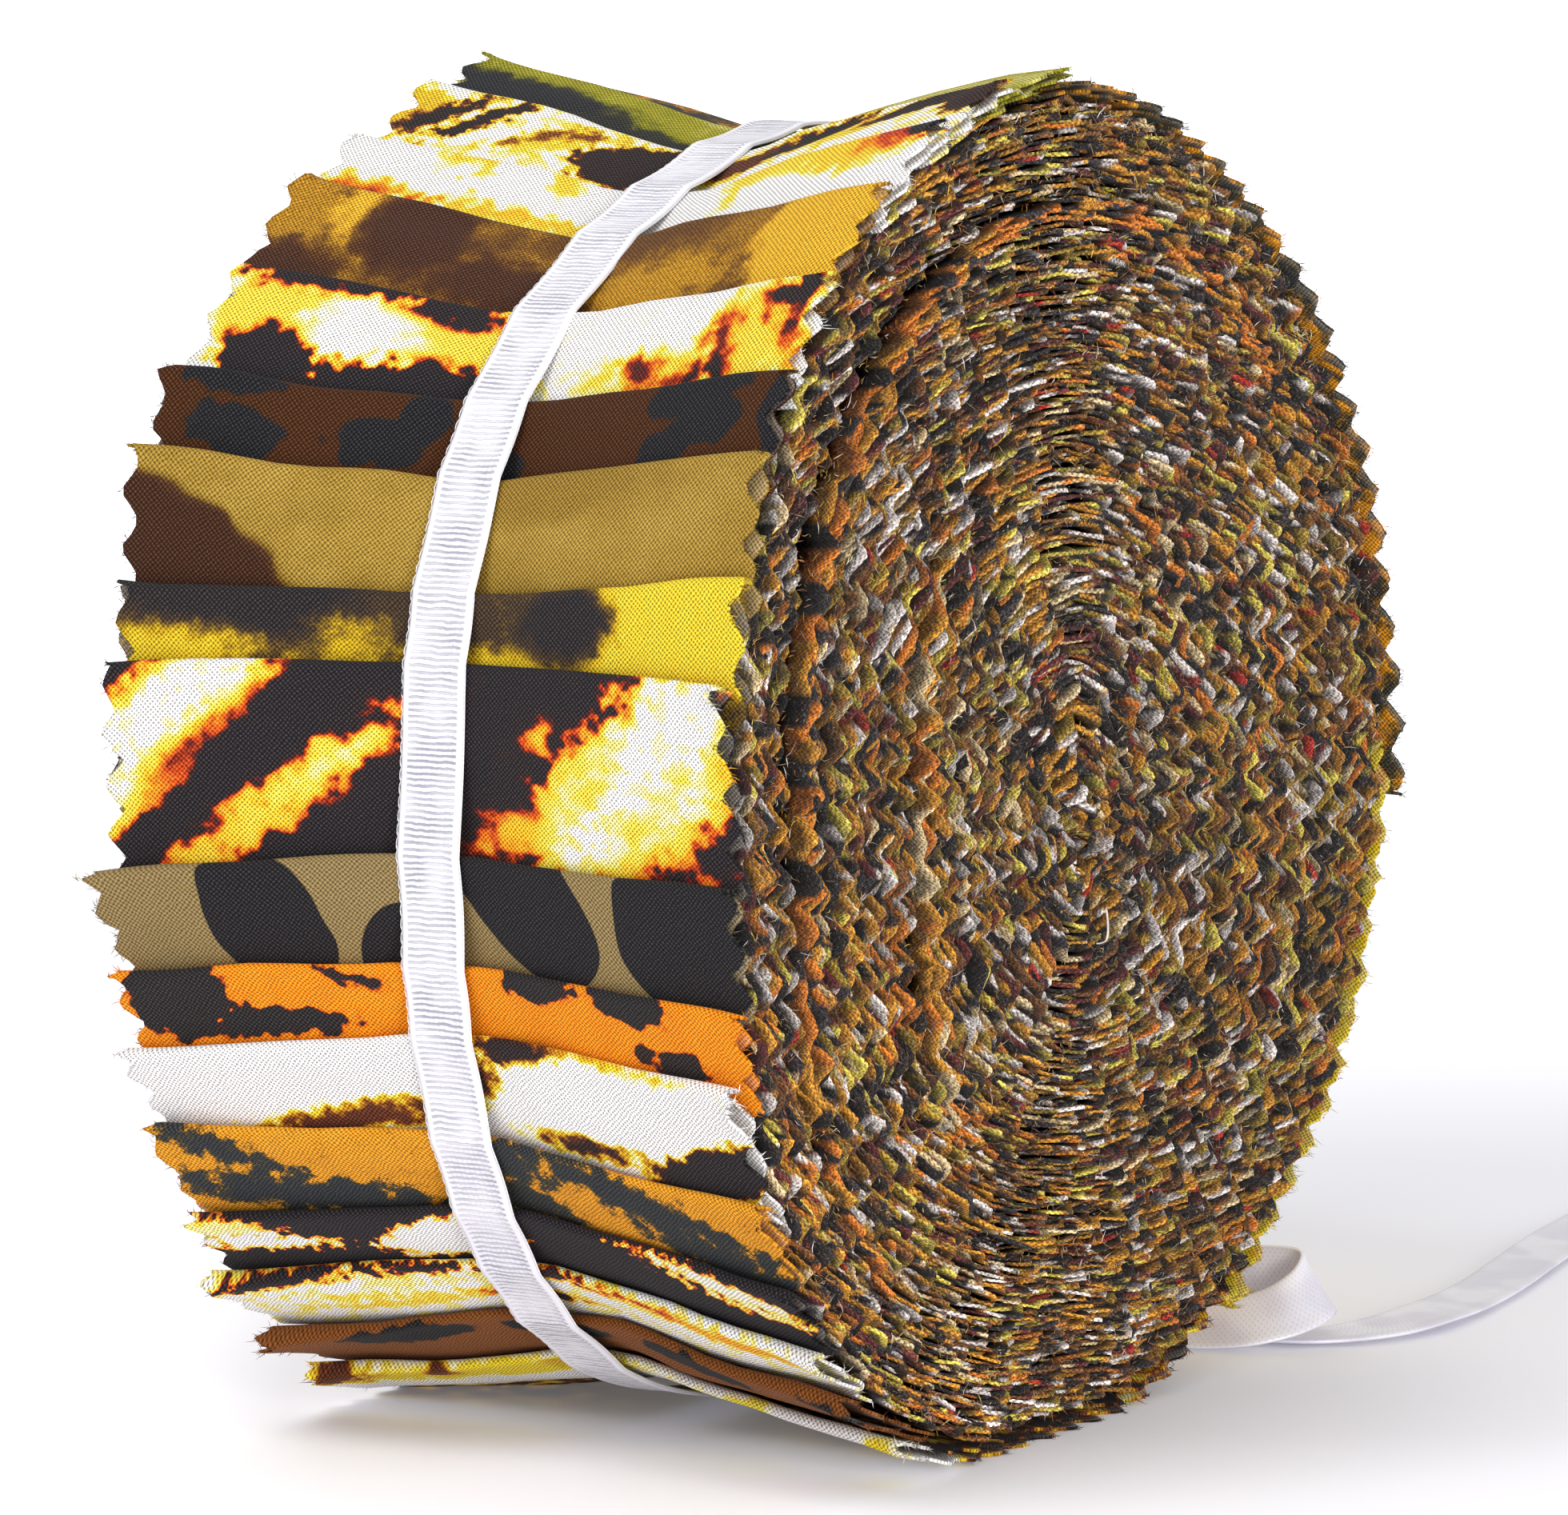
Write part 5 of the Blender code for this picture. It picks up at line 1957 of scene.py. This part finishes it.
def tube_data(name: str, lines: Array, size: Array, roots: Array | None = None) -> Mesh:
    """Return a mesh of thin three-sided tubes that end in points.

    Args:
        name: The mesh's name.
        lines: Each tube's middle line, in metres; all have as many points.
        size: Each tube's radius in metres.
        roots: One cloth coordinate for each tube, or None for lengths along it.

    Returns:
        The mesh.
    """
    count = lines.shape[1]
    ahead = np.gradient(lines, axis=1)
    ahead /= np.maximum(np.linalg.norm(ahead, axis=2, keepdims=True), 1e-12)
    first = np.cross(ahead, np.array([0.31, 0.22, 0.93]))
    first /= np.maximum(np.linalg.norm(first, axis=2, keepdims=True), 1e-12)
    second = np.cross(ahead, first)
    reach = np.linspace(0.0, 1.0, count)
    taper = np.minimum(1.0, np.minimum(reach + 0.5 / (count - 1), 1.0 - reach) * (count - 1))

    def place(column: Array, row: Array) -> Array:
        """Return the tubes' points."""
        which, at = np.divmod(column.astype(int), count)
        turn = row * 2.0 * math.pi / 3.0
        ring = first[which, at] * np.cos(turn)[:, None] + second[which, at] * np.sin(turn)[:, None]
        return lines[which, at] + ring * (size[which] * taper[at])[:, None]

    def cloth(column: Array, row: Array) -> Array:
        """Return the cloth coordinates."""
        if roots is None:
            return np.stack([column * 0.2, row], axis=-1)
        return roots[(column // count).astype(int)]

    return grid_data(name, len(lines) * count - 1, 3, place, cloth, lambda c: c % count == count - 1)


@dataclass
class FaceFuzz:
    """Fuzz of the cut edges on both faces, and the one longer white thread beside the eye."""

    shape: RollShape
    material: Material
    near_threads: int = 15500
    far_threads: int = 2200
    rim_share: float = 0.16
    thread_length: tuple[float, float] = (0.25, 0.95)
    seed: int = 77
    stray_turn: float = 280.0
    stray_share: float = 0.14
    stray_radius: float = 0.11

    def build(self) -> None:
        """Make the threads of both faces."""
        for face, count in ((Face.NEAR, self.near_threads), (Face.FAR, self.far_threads)):
            side = face.value
            random = np.random.default_rng(self.seed + side)
            share, angle = np.sqrt(random.uniform(0.002, 1.0, count)), random.uniform(0.0, 360.0, count)
            at_rim = random.uniform(size=count) < self.rim_share
            share = np.where(at_rim, random.uniform(0.985, 1.004, count), share)
            y = side * random.uniform(29.6, 31.5, count)
            way = random.normal(0.0, 1.0, (count, 3))
            way[:, 1] = side * np.abs(way[:, 1]) * 0.6
            starts = self.shape.face_point(angle, share, y, -0.6)
            threads = Threads(random, starts, way, random.uniform(*self.thread_length, count))
            data = threads.data("face_fuzz_" + face.name.lower(), np.zeros((count, 2)))
            tints = np.array(list(EDGE_TINTS.values()))[random.integers(0, len(EDGE_TINTS) - 1, count)]
            tubes = np.minimum(np.arange(len(data.vertices)) % (count * 3) // 3, count - 1)
            set_tint(data, tints[tubes])
            add_piece(data.name, data, [self.material])
        base = self.shape.face_point(np.array(self.stray_turn), np.array(self.stray_share), np.array(-31.4),
                                     np.array(0.0))
        t = np.linspace(0.0, 1.0, 14)
        bend = np.stack([1.3 * np.sin(t * 3.0), -0.9 * t, 3.4 * t - 1.2 * np.sin(t * 3.1)], axis=-1)
        data = tube_data("stray_white_thread", (base + bend * MM)[None], np.array([self.stray_radius * MM]))
        set_tint(data, np.array(EDGE_TINTS["white"]))
        add_piece(data.name, data, [self.material])


@dataclass(frozen=True)
class Viewpoint:
    """Where the photograph was taken from, and its framing."""

    azimuth: float = -59.31
    elevation: float = 6.5
    distance: float = 0.71003
    focal_pixels: float = 9804.26
    frame_width: float = 1960.0
    shift_right: float = 11.25
    shift_up: float = -12.37
    sensor: float = 36.0

    def build(self, shape: RollShape) -> None:
        """Make the camera.

        Args:
            shape: The roll's sizes.
        """
        back = towards(self.azimuth, self.elevation)
        data = bpy.data.cameras.new("camera")
        data.sensor_width = self.sensor
        data.sensor_fit = "HORIZONTAL"
        data.lens = self.sensor * self.focal_pixels / self.frame_width
        data.shift_x = self.shift_right / self.frame_width
        data.shift_y = self.shift_up / self.frame_width
        data.clip_start, data.clip_end = 0.01, 50.0
        camera = bpy.data.objects.new("camera", data)
        camera.location = Vector((shape.axis_x, 0.0, shape.axis_height)) * MM + back * self.distance
        camera.rotation_euler = back.to_track_quat("Z", "Y").to_euler()
        bpy.context.scene.collection.objects.link(camera)
        bpy.context.scene.camera = camera


@dataclass(frozen=True)
class SoftBox:
    """One square soft light, aimed at the roll."""

    name: str
    azimuth: float
    elevation: float
    distance: float
    size: float
    power: float


@dataclass(frozen=True)
class Studio:
    """The pale floor, the white surroundings and the soft lights.

    ahead and right are the directions on the floor into the picture and to its right. Each glow is
    where on such a line the floor starts to shine, where it shines most, and how much at both.
    """

    floor_size: float = 40.0
    ahead: tuple[float, float] = (0.854, 0.507)
    right: tuple[float, float] = (0.51, -0.86)
    # The floor's tone ramp: painted shade, darker further back.
    painted_floor_shade: tuple[float, ...] = (0.05, 0.14, 0.91, 0.745)
    floor_grain: tuple[float, ...] = (0.3, 0.7, -0.008, 0.008)
    grain_scale: float = 6.0
    horizon_glow: tuple[float, ...] = (0.11, 0.235, 0.085, 0.32)
    front_glow: tuple[float, ...] = (0.015, -0.065, 0.0, 0.22)
    left_glow: tuple[float, ...] = (-0.036, -0.062, 0.0, 0.3)
    around_glow: tuple[float, ...] = (0.3, 0.6)
    sky_tone: tuple[float, ...] = (0.0, 0.6, 0.72, 0.62)
    aim: tuple[float, float, float] = (0.0, 0.0, 0.05)
    lights: tuple[SoftBox, ...] = (
        SoftBox("key_light", -105.0, 52.0, 1.1, 0.4, 4.6),
        SoftBox("face_light", -32.0, 9.0, 1.2, 0.35, 6.2),
        SoftBox("back_light", 140.0, 50.0, 1.3, 0.9, 2.6),
    )

    def build(self) -> None:
        """Make the floor, the surroundings and the lights."""
        bpy.context.scene.view_settings.view_transform = "Standard"
        mesh = bmesh.new()
        bmesh.ops.create_grid(mesh, x_segments=1, y_segments=1, size=self.floor_size / 2)
        data = bpy.data.meshes.new("floor")
        mesh.to_mesh(data)
        mesh.free()
        data.materials.append(self.floor_material())
        floor = bpy.data.objects.new("floor", data)
        bpy.context.scene.collection.objects.link(floor)
        bpy.context.scene.world = self.surroundings()
        for box in self.lights:
            self.add_light(box)

    def floor_material(self) -> Material:
        """Return the floor's finish: painted shade darkens it further back, and its glow, painted light,
        fades it to white in front, at the left and at the horizon.
        """
        material, graph, shader = new_material("pale_floor")
        point = graph.add("ShaderNodeTexCoord").outputs["Object"]
        x, y, _ = graph.parts(point)
        ahead, right = (graph.plus(graph.times(x, way[0]), graph.times(y, way[1]))
                        for way in (self.ahead, self.right))
        # Painted shade: the floor's tone darkens further back, plus a fine grain.
        tone = graph.plus(graph.remap(graph.noise(point, self.grain_scale), *self.floor_grain),
                          graph.remap(ahead, *self.painted_floor_shade, Ease.SMOOTH))
        graph.feed(shader.inputs["Base Color"],
                   graph.join(tone, graph.minus(tone, 0.006), graph.plus(tone, 0.045)))
        # Painted light: the floor glows, most in front, at the left and towards the horizon.
        glow = graph.remap(graph.vector("LENGTH", point), *self.around_glow)
        for line, span in ((ahead, self.horizon_glow), (ahead, self.front_glow), (right, self.left_glow)):
            glow = graph.math("MAXIMUM", glow, graph.remap(line, *span, Ease.SMOOTH))
        graph.feed(shader.inputs["Emission Strength"], glow)
        shader.inputs["Emission Color"].default_value = (1.0, 1.0, 1.0, 1.0)
        set_shader(shader, 0.6, 0.0, 0.2)
        return material

    def surroundings(self) -> bpy.types.World:
        """Return the pale world, a little darker overhead."""
        world = bpy.data.worlds.new("surround")
        world.use_nodes = True
        sky = Graph(world.node_tree)
        height = sky.parts(sky.add("ShaderNodeTexCoord").outputs["Generated"])[2]
        tone = sky.remap(height, *self.sky_tone, Ease.SMOOTH)
        sky.feed(world.node_tree.nodes["Background"].inputs["Color"], sky.join(tone, tone, tone))
        return world

    def add_light(self, box: SoftBox) -> None:
        """Make one soft light.

        Args:
            box: Its place, size and power.
        """
        lamp = bpy.data.lights.new(box.name, "AREA")
        lamp.size = box.size
        lamp.energy = box.power
        light = bpy.data.objects.new(box.name, lamp)
        back = towards(box.azimuth, box.elevation)
        light.location = Vector(self.aim) + back * box.distance
        light.rotation_euler = back.to_track_quat("Z", "Y").to_euler()
        bpy.context.scene.collection.objects.link(light)


def main() -> None:
    """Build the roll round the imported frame."""
    logging.basicConfig(level=logging.INFO, format="%(message)s")
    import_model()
    shape = RollShape()
    Viewpoint().build(shape)
    tie = RibbonTie(shape)
    tie.build_tail()
    cotton = PrintedCotton(ClothNodes())
    Winding(shape, cotton).build()
    wrinkles = SmoothNoise(WRINKLE_SEED)
    for index, design in enumerate(PRINTS):
        front, back = cotton.printed(design), cotton.printed(design, BACK_WASH)
        FoldedStrip(shape, index, front, back, wrinkles).build()
    tie.build()
    FaceFuzz(shape, cotton.fluff()).build()
    Studio().build()


if __name__ == "__main__":
    main()
